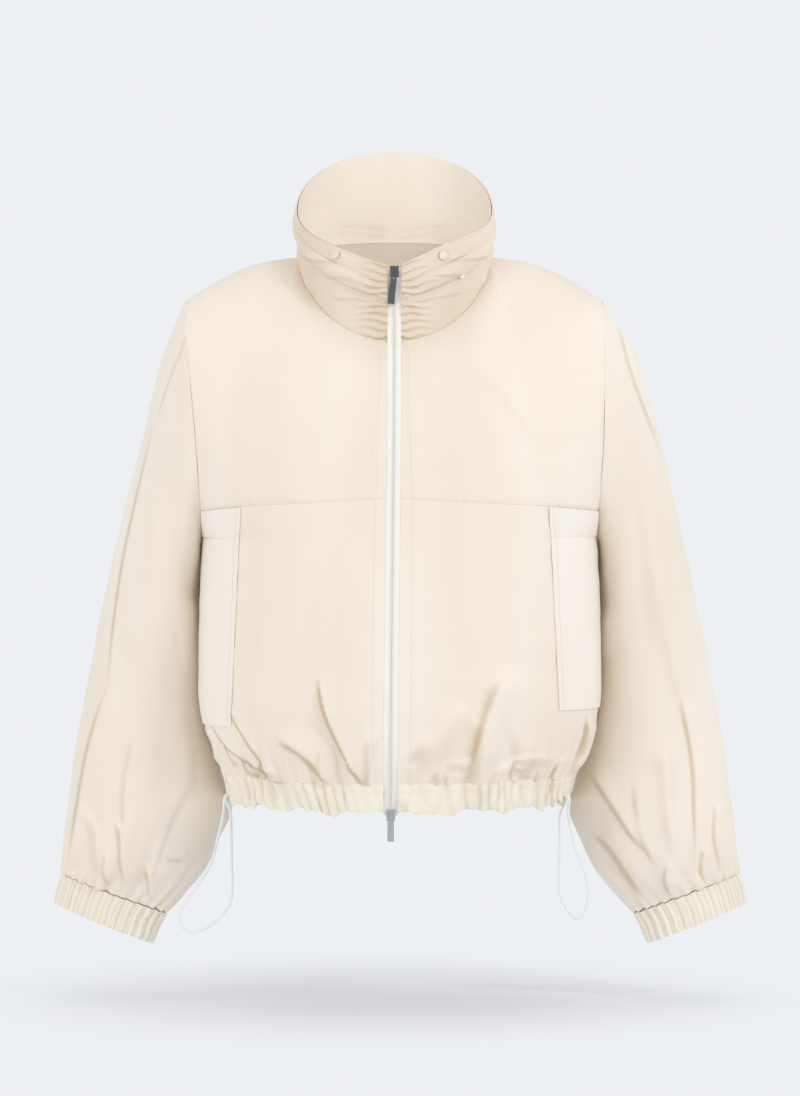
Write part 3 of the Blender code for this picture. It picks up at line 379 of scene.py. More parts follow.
def by_line(line, x, z):
    """Where x, z lies by a fold's bowed line: share along it, mm aside of it and mm past its ends."""
    run_x = line.to_x - line.x
    run_z = line.to_z - line.z
    length = math.hypot(run_x, run_z)
    reach = ((x - line.x) * run_x + (z - line.z) * run_z) / length**2
    t = np.clip(reach, 0, 1)
    aside = ((x - line.x) * run_z - (z - line.z) * run_x) / length - line.bow * 4 * t * (1 - t)
    return t, aside, (reach - t) * length


def fold_height(folds, x, z):
    """How far a list of soft folds lifts the cloth at x, z."""
    height = np.zeros(np.broadcast(x, z).shape)
    for fold in folds:
        t, aside, beyond = by_line(fold, x, z)
        height += fold.depth * (1 - 0.7 * t) * np.exp(-(aside**2 + beyond**2) / fold.width**2)
    return height


def points(*columns):
    return np.stack(np.broadcast_arrays(*columns), axis=-1).astype(float)


def neck_point(turn):
    """Neck seam; turn is 0 at centre front and 180 degrees at centre back."""
    q = np.cos(turn)
    depth = np.where(q > 0, NECK_FRONT, NECK_BACK)
    z = 10 - 54 * q - 39 * np.sqrt(q * q + 0.0225)
    return points(NECK_HALF_WIDTH * np.sin(turn), -depth * q, z)


def rim_point(turn):
    """Upper edge of the collar, low in front and high behind."""
    q = np.cos(turn)
    s = np.sin(turn)
    rise = np.where(s < 0, RIM_RISE[LEFT], RIM_RISE[RIGHT]) * np.abs(s) * np.clip(q, 0, 1) ** 2
    return points(RIM_HALF_WIDTH * s, RIM_BACK_SHIFT - RIM_HALF_DEPTH * q, RIM_MID_Z - RIM_TILT * q + rise)


def neck_start(face):
    """Turn at which a front or back begins on the neck seam, measured from its own middle."""
    return math.asin(ZIP_HALF / NECK_HALF_WIDTH) if face == FRONT else 0.0


def neck_turn(face, across):
    """Turn round the neck, from centre front, of a place on a top edge."""
    first = neck_start(face)
    turn = first + (math.pi / 2 - first) * np.clip(across / NECK_SHARE, 0, 1)
    return turn if face == FRONT else math.pi - turn


def top_edge(face, side, across):
    """Neckline, then shoulder seam, of a front or back."""
    neck = neck_point(neck_turn(face, across))
    tip = np.array([ARMHOLE_X + ARMHOLE_LEAN, 0, ARMHOLE_Z + ARMHOLE_HALF_HEIGHT])
    t = np.clip((across - NECK_SHARE) / (1 - NECK_SHARE), 0, 1)
    shoulder = neck + (tip - neck_point(np.array(math.pi / 2))) * t[..., None]
    shoulder[..., 2] += SHOULDER_BULGE * np.sin(math.pi * t)
    return np.where((across < NECK_SHARE)[..., None], neck, shoulder) * np.array([side, 1, 1])


def section(face, side, row, across):
    """Torso surface before its folds; across runs from centre (0) to armhole or side seam (1)."""
    name = "front" if face == FRONT else "back"
    mid_z = along(BODY, name + "_z", row)
    mid_y = face * along(BODY, name + "_depth", row)
    mid_x = zip_x(mid_z) + side * ZIP_HALF if face == FRONT else side_shift(mid_z)
    turn = np.radians(np.clip(along(BODY, "turn", row), 50, 90))
    round_armhole = math.pi * np.clip(row / ARMHOLE_ROW, 0, 1)
    below = row > ARMHOLE_ROW
    side_rise = 6 * np.clip((row - ARMHOLE_ROW) / (HEM_EDGE_ROW - ARMHOLE_ROW), 0, 1) ** 2
    drop = mid_z - along(BODY, name + "_z", ARMHOLE_ROW)
    armhole_bottom = ARMHOLE_Z - ARMHOLE_HALF_HEIGHT
    blend = eased((row - ARMHOLE_ROW) / 3)
    low_z = armhole_bottom * (1 - blend) + mid_z * blend + drop * (1 - blend) + side_rise
    edge_z = np.where(below, low_z, ARMHOLE_Z + ARMHOLE_HALF_HEIGHT * np.cos(round_armhole))
    edge_x = np.where(below, along(BODY, "half_width", row), ARMHOLE_X + ARMHOLE_LEAN * np.cos(round_armhole))
    edge_x = side * edge_x + side_shift(edge_z)
    edge_y = np.where(below, 0, face * ARMHOLE_HALF_DEPTH * np.sin(round_armhole))
    angle = across * turn
    power = 2 / ROUNDNESS
    sideways = (np.sin(angle) / np.sin(turn)) ** power
    backwards = (1 - np.cos(angle) ** power) / (1 - np.clip(np.cos(turn), 0, 1) ** power)
    x = mid_x + (edge_x - mid_x) * sideways
    y = mid_y + (edge_y - mid_y) * backwards
    z = mid_z + (edge_z - mid_z) * sideways
    return points(x, y, z)


def hem_gathers(face, row, across):
    """Alternate lift of the gathered cloth above the hem and of the hem casing."""
    count = 12 if face == FRONT else 10
    strength = eased((row - 23.8) / 2.0)
    uneven = 0.8 + 0.2 * np.sin(19 * across + face)
    return HEM_GATHER * strength * uneven * np.cos(2 * math.pi * count * across)


def body_point(face, side, row, across, folded=True):
    row, across = np.broadcast_arrays(np.asarray(row, float), np.clip(np.asarray(across, float), 0, 1))
    base = section(face, side, row, across)
    top = np.zeros_like(row)
    lift = top_edge(face, side, across) - section(face, side, top, across)
    base = base + lift * (np.clip(1 - row / (ARMHOLE_ROW - 1), 0, 1) ** 2)[..., None]
    if not folded:
        return base
    folds = FRONT_FOLDS if face == FRONT else BACK_FOLDS
    calm = np.clip((1 - across) * 5, 0, 1) * np.clip(across * 8, 0, 1)
    calm = calm * np.clip((HEM_EDGE_ROW - row) / 2, 0, 1)
    height = fold_height(folds, base[..., 0], base[..., 2]) * calm
    height = height + hem_gathers(face, row, across)
    return base + body_facing(face, side, row, across, folded=False) * height[..., None]


def body_facing(face, side, row, across, folded=True):
    """Unit direction out of a front or back."""
    across = np.clip(across, 0.004, 0.996)

    def at(row, across):
        return body_point(face, side, row, across, folded)

    down = at(row + 0.05, across) - at(row - 0.05, across)
    aside = at(row, across + 0.004) - at(row, across - 0.004)
    return unit(np.cross(down, aside)) * -side * face


def sleeve_point(side, ring, turn, folded=True):
    """Sleeve surface; turn is 0 on top, a quarter in front, a half at the underarm."""
    outer_x, outer_z = along(SLEEVE, "outer_x", ring), along(SLEEVE, "outer_z", ring)
    inner_x, inner_z = along(SLEEVE, "inner_x", ring), along(SLEEVE, "inner_z", ring)
    q = np.cos(turn)
    z = (outer_z + inner_z) / 2 + (outer_z - inner_z) / 2 * q
    x = side * ((outer_x + inner_x) / 2 + (outer_x - inner_x) / 2 * q) + side_shift(z)
    y = along(SLEEVE, "mid_y", ring) - along(SLEEVE, "half_depth", ring) * np.sin(turn)
    base = points(x, y, z)
    if not folded:
        return base
    ahead = np.sin(turn)
    calm = np.clip(ring / 2, 0, 1) * np.clip((CUFF_RING - ring) * 1.5, 0, 1)
    height = fold_height(SLEEVE_FRONT_FOLDS[side], x, z) * np.clip(ahead * 2, 0, 1) * calm
    height = height + fold_height(SLEEVE_BACK_FOLDS[side], x, z) * np.clip(-ahead * 2, 0, 1) * calm
    gathered = eased((ring - 11.1) / 0.9)
    uneven = 0.8 + 0.2 * np.sin(3 * turn + side)
    height = height + CUFF_GATHER * gathered * uneven * np.cos(SLEEVE_SIDES * turn)
    return base + sleeve_facing(side, ring, turn) * height[..., None]


def sleeve_facing(side, ring, turn):
    def bare(u, v):
        return sleeve_point(side, u, v, folded=False)

    ring = np.clip(ring, 0.03, 13.97)
    du = bare(ring + 0.03, turn) - bare(ring - 0.03, turn)
    dv = bare(ring, turn + 0.01) - bare(ring, turn - 0.01)
    out = np.cross(dv, du) * side
    return out / np.linalg.norm(out, axis=-1, keepdims=True)


def collar_point(turn, height):
    """Collar surface; turn is negative towards LEFT, height 0 at the neck seam and 1 at the rim."""
    height = np.asarray(height, float)
    leaned = height - COLLAR_LEAN * np.sin(turn) * np.sin(math.pi * height)
    low, high = neck_point(turn), rim_point(turn)
    base = low + (high - low) * leaned[..., None]
    swell = COLLAR_BULGE * np.sin(math.pi * np.clip(height, 0, 1))
    from_zip = np.degrees(np.minimum(np.abs(turn), 2 * math.pi - np.abs(turn))) - ZIP_TURN
    near_zip = np.exp(-((from_zip / RUCHE_REACH) ** 2))
    swell = swell + RUCHE_DEPTH * near_zip * (np.cos(2 * math.pi * RUCHES * height) - 1) / 2
    out = points(np.sin(turn), -np.cos(turn), np.zeros_like(turn))
    return base + out * swell[..., None]


def unit(vectors):
    return vectors / np.maximum(np.linalg.norm(vectors, axis=-1, keepdims=True), 1e-9)


# Creases: as the folds, and sharp is how much steeper one flank is than the other
Crease = namedtuple("Crease", "x z to_x to_z bow width depth sharp")


def crease_height(creases, x, z):
    """Lift of listed creases, soft at both ends and steeper on one flank."""
    height = np.zeros(np.broadcast(x, z).shape)
    for c in creases:
        t, aside, beyond = by_line(c, x, z)
        aside = aside + 1.2 * np.sin(7 * t + c.x)
        steep = np.where(aside * c.sharp > 0, 1 - 0.75 * abs(c.sharp), 1 + 1.6 * abs(c.sharp))
        wide = c.width * (1 - 0.3 * t) * steep
        fade = eased(t * 4 + 0.35) * eased((1 - t) * 2.5 + 0.1)
        height += c.depth * fade * np.exp(-((aside / wide) ** 2) - (beyond / (0.8 * c.width)) ** 2)
    return height


def painted_fold_shade(creases, x, z, folds=()):
    """Painted fold shade: how much a place lies on a fold's flank that faces away from the light at the upper
    right, from 0 to 1.
    """
    step_x, step_z = 1.6, 1.3
    ahead = crease_height(creases, x + step_x, z + step_z) + fold_height(folds, x + step_x, z + step_z)
    behind = crease_height(creases, x - step_x, z - step_z) + fold_height(folds, x - step_x, z - step_z)
    slope = (ahead - behind) / (2 * math.hypot(step_x, step_z))
    return np.clip(slope * 1.5 - 0.1, 0, 1)


def wander(x, z, seed, size):
    """A smooth uneven field of nine long waves, about -1 to 1, whose waves are about size mm long."""
    count = 9
    rng = np.random.default_rng(seed)
    total = np.zeros(np.broadcast(x, z).shape)
    for _ in range(count):
        angle = rng.uniform(0, math.pi)
        pitch = 2 * math.pi / (size * rng.uniform(0.7, 1.6))
        total = total + np.sin(pitch * (x * math.cos(angle) + z * math.sin(angle)) + rng.uniform(0, 6.28))
    return total / math.sqrt(count) / 1.2


def seam_dip(distance, width=1.8, depth=0.35):
    """How far cloth sinks beside a seam that is some mm away."""
    return -depth * np.exp(-((distance / width) ** 2))


KEPT_FACES = 0.6  # share of a shell's faces that stays when its flat stretches are thinned out


def shell(name, spots, outward, look, nodes, thick=0.9, tube=False, tone=None, inner=None):
    """A grid primitive moved on to (rows, columns) spots in mm, thickened inward, riding on the jacket.

    tone is how much painted fold shade each spot takes on, and inner is the material of the cloth's inner
    side.
    """
    rows, columns = spots.shape[:2]
    bpy.ops.object.select_all(action="DESELECT")
    bpy.ops.mesh.primitive_grid_add(x_subdivisions=columns - 1, y_subdivisions=rows - 1, size=2)
    made = bpy.context.object
    made.name = name
    mesh = made.data
    if len(mesh.vertices) != rows * columns:
        raise ValueError(f"{name}: the grid has {len(mesh.vertices)} points, not {rows * columns}")
    mesh.vertices.foreach_set("co", (spots * MM).reshape(-1))
    mesh.update()
    shade = mesh.attributes.new("painted_fold_shade", "FLOAT", "POINT")
    if tone is not None:
        shade.data.foreach_set("value", np.ascontiguousarray(tone, np.float32).reshape(-1))
    mid = mesh.polygons[len(mesh.polygons) // 2]
    if np.dot(mid.normal, outward) < 0:
        mesh.flip_normals()
    long = np.linalg.norm(np.diff(spots, axis=0), axis=-1).sum(0).mean() * MM
    wide = np.linalg.norm(np.diff(spots, axis=1), axis=-1).sum(1).mean() * MM
    layer = mesh.uv_layers.active.data
    uv = np.empty(len(layer) * 2)
    layer.foreach_get("uv", uv)
    layer.foreach_set("uv", (uv.reshape(-1, 2) * (wide, long)).reshape(-1))
    if tube:
        bpy.ops.object.mode_set(mode="EDIT")
        bpy.ops.mesh.select_all(action="SELECT")
        bpy.ops.mesh.remove_doubles(threshold=1e-6)
        bpy.ops.object.mode_set(mode="OBJECT")
    wall = made.modifiers.new("thickness", "SOLIDIFY")
    wall.thickness = thick * MM
    wall.offset = -1
    mesh.materials.append(look)
    if inner is not None:
        mesh.materials.append(inner)
        wall.material_offset = 1
    bpy.ops.object.modifier_apply(modifier=wall.name)
    fewer = made.modifiers.new("fewer_faces", "DECIMATE")
    fewer.ratio = KEPT_FACES
    bpy.ops.object.modifier_apply(modifier=fewer.name)
    bpy.ops.object.shade_smooth_by_angle(angle=math.radians(50))
    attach(made, "garment")
    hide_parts(*nodes)
    return made


PAINTED_FOLD_SHADE = "D3BF9F"  # painted shade: the tan mixed into the cloth's colour where a fold turns from the light


WEAVE_MM = 0.9


def cloth_material(name, shade, light, crumple=0.35, roughness=0.55):
    """Coated polyester: a fine plain weave, a dry crumple in the coating, warm shades in large soft areas,
    and painted shade on fold flanks that face away from the light.
    """
    made, tree, shader = new_material(
        name,
        (
            ("Roughness", roughness), ("Sheen Weight", 0.12), ("Sheen Roughness", 0.4),
            ("Specular IOR Level", 0.35),
        ),
    )
    place = add_node(tree, "ShaderNodeTexCoord")
    solid, woven = place.outputs["Object"], place.outputs["UV"]
    hang = add_node(tree, "ShaderNodeMapping", (("Scale", (1.0, 1.0, 0.22)),), (("Vector", solid),))
    cloud = add_node(
        tree, "ShaderNodeTexNoise", (("Scale", 13.0), ("Detail", 2.0), ("Roughness", 0.4)),
        (("Vector", hang.outputs[0]),),
    )
    tone = add_node(
        tree, "ShaderNodeMapRange", (("From Min", 0.3), ("From Max", 0.7)), (("Value", cloud.outputs[0]),)
    )
    colour = two_tone(tree, shader, shade, light, tone.outputs[0])
    # Painted shade: a per-point attribute mixes the cloth's colour towards a tan on fold flanks that face
    # away from the light.
    flank = add_node(tree, "ShaderNodeAttribute", (("attribute_name", "painted_fold_shade"),)).outputs["Fac"]
    shaded = add_node(
        tree, "ShaderNodeMix", (("data_type", "RGBA"), (7, linear(PAINTED_FOLD_SHADE))),
        ((0, flank), (6, colour.outputs[2])),
    )
    tree.links.new(shaded.outputs[2], shader.inputs["Base Color"])
    threads = []
    for direction in ("X", "Y"):
        wave = add_node(
            tree, "ShaderNodeTexWave",
            (("bands_direction", direction), ("Scale", 0.314 / (WEAVE_MM * MM)), ("Distortion", 0.4)),
            (("Vector", woven),),
        )
        threads.append(wave.outputs["Color"])
    weave = add_node(tree, "ShaderNodeMath", (("operation", "ADD"),), ((0, threads[0]), (1, threads[1])))
    fine = add_node(
        tree, "ShaderNodeTexNoise", (("Scale", 70.0), ("Detail", 4.0), ("Roughness", 0.6)),
        (("Vector", solid),),
    )
    thread_bump = add_node(
        tree, "ShaderNodeBump", (("Strength", 0.12), ("Distance", 0.0002)), (("Height", weave.outputs[0]),)
    )
    bump = raised_by(tree, shader, crumple, 0.0008, fine.outputs[0])
    tree.links.new(thread_bump.outputs[0], bump.inputs["Normal"])
    return made


def torso_spots(face, side, rows, across, creases=(), extra=None):
    """Torso surface in mm with the solid's folds, listed creases and any extra height."""
    row, place = np.meshgrid(rows, across, indexing="ij")
    base = body_point(face, side, row, place)
    out = body_facing(face, side, row, place)
    x, z = base[..., 0], base[..., 2]
    height = crease_height(creases, x, z) + 0.35 * wander(x, z, 3 + side + face, 42)
    if extra is not None:
        height = height + extra(row, place, x, z)
    spots = base + out * height[..., None]
    spots[..., 1] += face * SEAM / 2 * np.clip(1 - np.abs(spots[..., 1]) / 20, 0, 1)
    return spots


def hem_puckers(face, side):
    """Fine uneven gathers that the drawcord pulls into the cloth, growing towards the hem."""

    def extra(row, place, x, z):
        strength = eased((row - 24.2) / 2.2)
        phase = 2 * math.pi * (27 * place + 0.35 * np.sin(11 * place + side) + 0.12 * (row - HEM_ROW))
        return 0.75 * strength * (1 + 0.5 * np.sin(8 * place + face)) * np.cos(phase)

    return extra


SEAM = 0.4
FRONT_CREASES = (
    Crease(-179, -460, -89, -529, 4, 5, 4.6, 0.8),
    Crease(-158, -444, -101, -513, 9, 4, 4.0, 0.8),
    Crease(-108, -470, -58, -520, -3, 8, 5.0, 0.5),
    Crease(-72, -415, -25, -525, 7, 5, 5.6, 0.8),
    Crease(-16, -465, -24, -526, 2, 4, 3.4, -0.7),
    Crease(-70, -480, -58, -516, 5, 3, 2.4, 0.6),
    Crease(-168, -480, -155, -506, -3, 4, 2.6, 0.6),
    Crease(-150, -486, -128, -516, 4, 4, 2.6, 0.6),
    Crease(-44, -490, -40, -526, 2, 3, 2.0, 0.5),
    Crease(-184, -462, -176, -506, -4, 4, 2.8, -0.5),
    Crease(110, -410, 75, -512, 5, 11, 6.4, 0.5),
    Crease(73, -440, 14, -496, 4, 12, 6.0, 0.5),
    Crease(93, -504, 165, -488, -6, 5, 4.2, -0.8),
    Crease(36, -510, 76, -489, -4, 5, 3.6, -0.7),
    Crease(122, -496, 112, -520, 2, 3.5, 2.6, 0.6),
    Crease(193, -454, 169, -513, -5, 6, 5.2, 0.7),
    Crease(166, -490, 152, -520, 3, 4, 3.2, 0.6),
    Crease(140, -500, 132, -522, -2, 3, 2.2, 0.5),
    Crease(58, -504, 50, -524, 1, 3, 2.0, 0.5),
    Crease(20, -496, 18, -522, 1, 3, 2.0, -0.5),
    Crease(-86, 0, -72, -44, 4, 5, 3.0, 0.7),
    Crease(88, 8, 76, -36, -4, 5, 3.4, -0.7),
    Crease(-62, -96, -150, -190, 10, 20, 1.6, 0.4),
    Crease(70, -100, 152, -200, -10, 20, 1.6, 0.4),
    Crease(-14, -120, -18, -300, 2, 10, 0.9, 0.4),
    Crease(16, -110, 22, -330, -2, 10, 0.9, 0.4),
    Crease(-118, -262, -126, -420, 5, 18, 1.3, 0.4),
    Crease(62, -258, 70, -400, -5, 20, 1.3, 0.4),
    Crease(124, -262, 130, -420, 4, 16, 1.2, 0.4),
)
shell_look = cloth_material("coated_polyester", "F1E5D3", "F7EDDF")


FRONT_MM = 190  # about the width of a front


def seam_pucker(from_seam, x):
    return 0.3 * np.exp(-from_seam / 9) * np.sin(x * 0.62 + 1.2 * np.sin(x * 0.11))


def yoke_extra(row, place, x, z):
    """Edge dips at zip and seams, and small puckers that the cross seam's thread pulls."""
    from_seam = (YOKE_ROW - row) * 15
    dips = seam_dip(from_seam) + seam_dip(place * FRONT_MM, 3, 0.6)
    return dips + seam_pucker(from_seam, x) + seam_dip((1 - place) * FRONT_MM)


def lower_extra(side):
    puckers = hem_puckers(FRONT, side)

    def extra(row, place, x, z):
        from_seam = (row - 11.03) * 14
        dips = seam_dip(from_seam) + seam_dip(place * FRONT_MM, 3, 0.6)
        dips = dips + seam_dip((HEM_ROW - row) * 11, 3, 0.3)
        return dips + seam_pucker(from_seam, x) + puckers(row, place, x, z)

    return extra


# Painted fold shade for a torso grid, read on its surface without the folds.
def torso_painted_shade(face, side, rows, across, creases, folds):
    row, place = np.meshgrid(rows, across, indexing="ij")
    at = body_point(face, side, row, place, folded=False)
    return painted_fold_shade(creases, at[..., 0], at[..., 2], folds)


yoke_rows, lower_rows = np.linspace(0, 10.995, 100), np.linspace(11.005, 25.97, 190)
front_places = np.linspace(0, 1, 170)
# Painted shade: the yoke's top rows, along the shoulder, are mixed towards the tan.
painted_shoulder_shade = 0.3 * np.exp(-yoke_rows / 1.5)
fronts = {}
for side, side_name in ((LEFT, "left"), (RIGHT, "right")):
    yoke_painted_shade = torso_painted_shade(FRONT, side, yoke_rows, front_places, FRONT_CREASES, FRONT_FOLDS)
    yoke = shell(
        "sewn_yoke_" + side_name,
        torso_spots(FRONT, side, yoke_rows, front_places, FRONT_CREASES, yoke_extra),
        (0, -1, 0), shell_look, ("yoke_" + side_name,),
        tone=yoke_painted_shade + painted_shoulder_shade[:, None],
    )
    lower = shell(
        "sewn_front_" + side_name,
        torso_spots(FRONT, side, lower_rows, front_places, FRONT_CREASES, lower_extra(side)),
        (0, -1, 0), shell_look, ("front_" + side_name,),
        tone=torso_painted_shade(FRONT, side, lower_rows, front_places, FRONT_CREASES, FRONT_FOLDS),
    )
    fronts[side] = (yoke, lower)


# Pocket welts
# Smooth brighter strips of the same cloth laid beside each side seam and topstitched on.
# No pocket mouth shows, so none is cut.
WELT_EDGE = {LEFT: (150, 159), RIGHT: (151, 161)}
WELT_TOP_Z, WELT_LOW_Z = -250, -455
WELT_END_ROW = {LEFT: 23.5, RIGHT: 22.7}
WELT_REACH = 0.965


def welt_across(side, rows, share):
    """Places across a front, from the welt's inner edge (share 0) to its outer one (1)."""
    z = along(BODY, "front_z", rows)
    down = np.clip((WELT_TOP_Z - z) / (WELT_TOP_Z - WELT_LOW_Z), 0, 1)
    edge = WELT_EDGE[side][0] + (WELT_EDGE[side][1] - WELT_EDGE[side][0]) * down
    start = ZIP_HALF + side * zip_x(z)
    far = along(BODY, "half_width", rows) + side * side_shift(z)
    turn = np.radians(np.minimum(along(BODY, "turn", rows), 90))
    at_edge = np.arcsin(np.sin(turn) * ((edge - start) / (far - start)) ** (ROUNDNESS / 2)) / turn
    return at_edge[:, None] + (WELT_REACH - at_edge[:, None]) * share[None, :]


welt_look = cloth_material("smooth_welt_cloth", "F4EBDD", "F8F1E6", crumple=0.2)
for side, side_name in ((LEFT, "left"), (RIGHT, "right")):
    rows = np.linspace(11.06, WELT_END_ROW[side], 100)
    share = np.linspace(0, 1, 24)
    place = welt_across(side, rows, share)
    row = np.broadcast_to(rows[:, None], place.shape)
    base = body_point(FRONT, side, row, place)
    out = body_facing(FRONT, side, row, place)
    x, z = base[..., 0], base[..., 2]
    edge_mm = np.minimum(share * 45, 60)[None, :]
    height = 1.5 + 0.9 * np.maximum(crease_height(FRONT_CREASES, x, z), -0.5)
    height = height + seam_dip(edge_mm - 1.5, 1.2, 0.3) + 0.2 * wander(x, z, 8, 30)
    welt = shell(
        "sewn_welt_" + side_name, base + out * height[..., None], (0, -1, 0), welt_look,
        ("pocket_welt_" + side_name,),
    )


# Back
# One wide panel of the same cloth, from the neck and shoulder seams to the hem, with a few soft creases.
BACK_CREASES = (
    Crease(-60, -60, -150, -190, 8, 20, 2.0, 0.4),
    Crease(58, -58, 148, -180, -8, 20, 2.0, 0.4),
    Crease(-10, -40, -16, -150, 3, 12, 1.2, 0.3),
    Crease(-176, -190, -120, -300, 8, 12, 2.6, 0.5),
    Crease(178, -195, 124, -310, -8, 12, 2.6, 0.5),
    Crease(-178, -460, -112, -530, 4, 6, 4.4, 0.8),
    Crease(-98, -440, -66, -524, -6, 6, 5.0, 0.8),
    Crease(-46, -430, -22, -524, 4, 9, 5.2, 0.6),
    Crease(8, -462, 2, -524, 2, 5, 3.2, -0.6),
    Crease(34, -420, 66, -524, -5, 10, 5.4, -0.6),
    Crease(102, -446, 82, -522, 3, 7, 4.4, 0.7),
    Crease(140, -440, 122, -524, -3, 7, 4.8, 0.7),
    Crease(184, -458, 158, -520, 3, 6, 4.0, 0.7),
    Crease(-140, -490, -132, -524, 2, 4, 2.6, 0.5),
    Crease(-10, -490, -14, -526, 2, 4, 2.4, 0.5),
    Crease(-90, -200, -96, -420, 6, 24, 1.8, 0.4),
    Crease(84, -200, 92, -420, -6, 24, 1.8, 0.4),
)


def back_extra(side):
    puckers = hem_puckers(BACK, side)

    def extra(row, place, x, z):
        gathered = seam_dip((HEM_ROW - row) * 11, 3, 0.3) + puckers(row, place, x, z)
        return gathered + seam_dip((1 - place) * 200)

    return extra


def whole_back(rows, across, creases, extra):
    """A back's left and right halves joined at the middle, from LEFT to RIGHT."""
    left = torso_spots(BACK, LEFT, rows, across, creases, extra(LEFT))
    right = torso_spots(BACK, RIGHT, rows, across, creases, extra(RIGHT))
    middle = (left[:, :1] + right[:, :1]) / 2
    blend = np.exp(-np.arange(len(across)) / 3)[None, :, None]
    left = left + (middle - left[:, :1]) * blend
    right = right + (middle - right[:, :1]) * blend
    return np.concatenate([left[:, :0:-1], right], axis=1)


back_spots = whole_back(np.linspace(0, 25.97, 220), np.linspace(0, 1, 120), BACK_CREASES, back_extra)
# The back's fold flanks that face away from the light take on painted shade.
back = shell(
    "sewn_back", back_spots, (0, 1, 0), shell_look, ("back",),
    tone=painted_fold_shade(BACK_CREASES, back_spots[..., 0], back_spots[..., 2], BACK_FOLDS),
)


# Hem casing
# A folded band of the same cloth that holds the drawcord, gathered into deep uneven puckers.
def casing_puckers(side, row, place):
    """The casing's uneven gathers round the hem, from -1 in a valley to 1 on a ridge."""
    uneven = 0.65 + 0.35 * np.sin(17 * place + 2 * side)
    return uneven * np.cos(2 * math.pi * (21 * place + 0.9 * np.sin(9 * place + side) + 0.25 * (row - 27)))


def casing_extra(side):
    def extra(row, place, x, z):
        row_of_stitches = -0.5 * np.exp(-(((row - 26.4) / 0.12) ** 2))
        roll = 0.5 * np.sin(math.pi * np.clip((row - 26.04) / 1.96, 0, 1))
        tucked = -1.1 * (1 - eased((row - 25.92) / 0.25))
        puckers = 1.5 * casing_puckers(side, row, place) * eased((row - 25.9) / 0.5)
        return puckers + row_of_stitches + roll + tucked

    return extra


casing_rows = np.linspace(25.92, 28, 26)
casing_left = torso_spots(FRONT, LEFT, casing_rows, np.linspace(0, 1, 180), (), casing_extra(LEFT))
casing_right = torso_spots(FRONT, RIGHT, casing_rows, np.linspace(0, 1, 180), (), casing_extra(RIGHT))
casing_back = whole_back(casing_rows, np.linspace(0, 1, 150), (), casing_extra)
casing = np.concatenate([casing_left, casing_back[:, 1:-1], casing_right[:, ::-1]], axis=1)


def casing_valley_shade(side, count):
    """Painted shade in the casing's valleys, from centre to side seam."""
    row, place = np.meshgrid(casing_rows, np.linspace(0, 1, count), indexing="ij")
    return np.clip(-casing_puckers(side, row, place) - 0.15, 0, 1)


# On the right half the painted shades run the other way from the puckers, so they fall beside the valleys
# there.
casing_painted_shade = np.concatenate(
    [
        casing_valley_shade(LEFT, 180), casing_valley_shade(LEFT, 150)[:, ::-1][:, 1:],
        casing_valley_shade(RIGHT, 150)[:, ::-1][:, 1:-1], casing_valley_shade(RIGHT, 180),
    ],
    axis=1,
)
wave = np.linspace(0, 738, casing.shape[1])
edge = np.clip((casing_rows - 27) / 1, 0, 1)[:, None] ** 2
casing[..., 2] += edge * (1.8 + 2.4 * np.sin(wave * 0.13) + 1.8 * np.sin(wave * 0.29 + 1))[None, :]
gathered_look = cloth_material("gathered_polyester", "F2E9D6", "F8F1E0", crumple=0.3)
hem = shell(
    "sewn_hem_casing", casing, (1, 0, 0), gathered_look, ("hem_casing",), thick=1.4,
    tone=0.7 * casing_painted_shade,
)


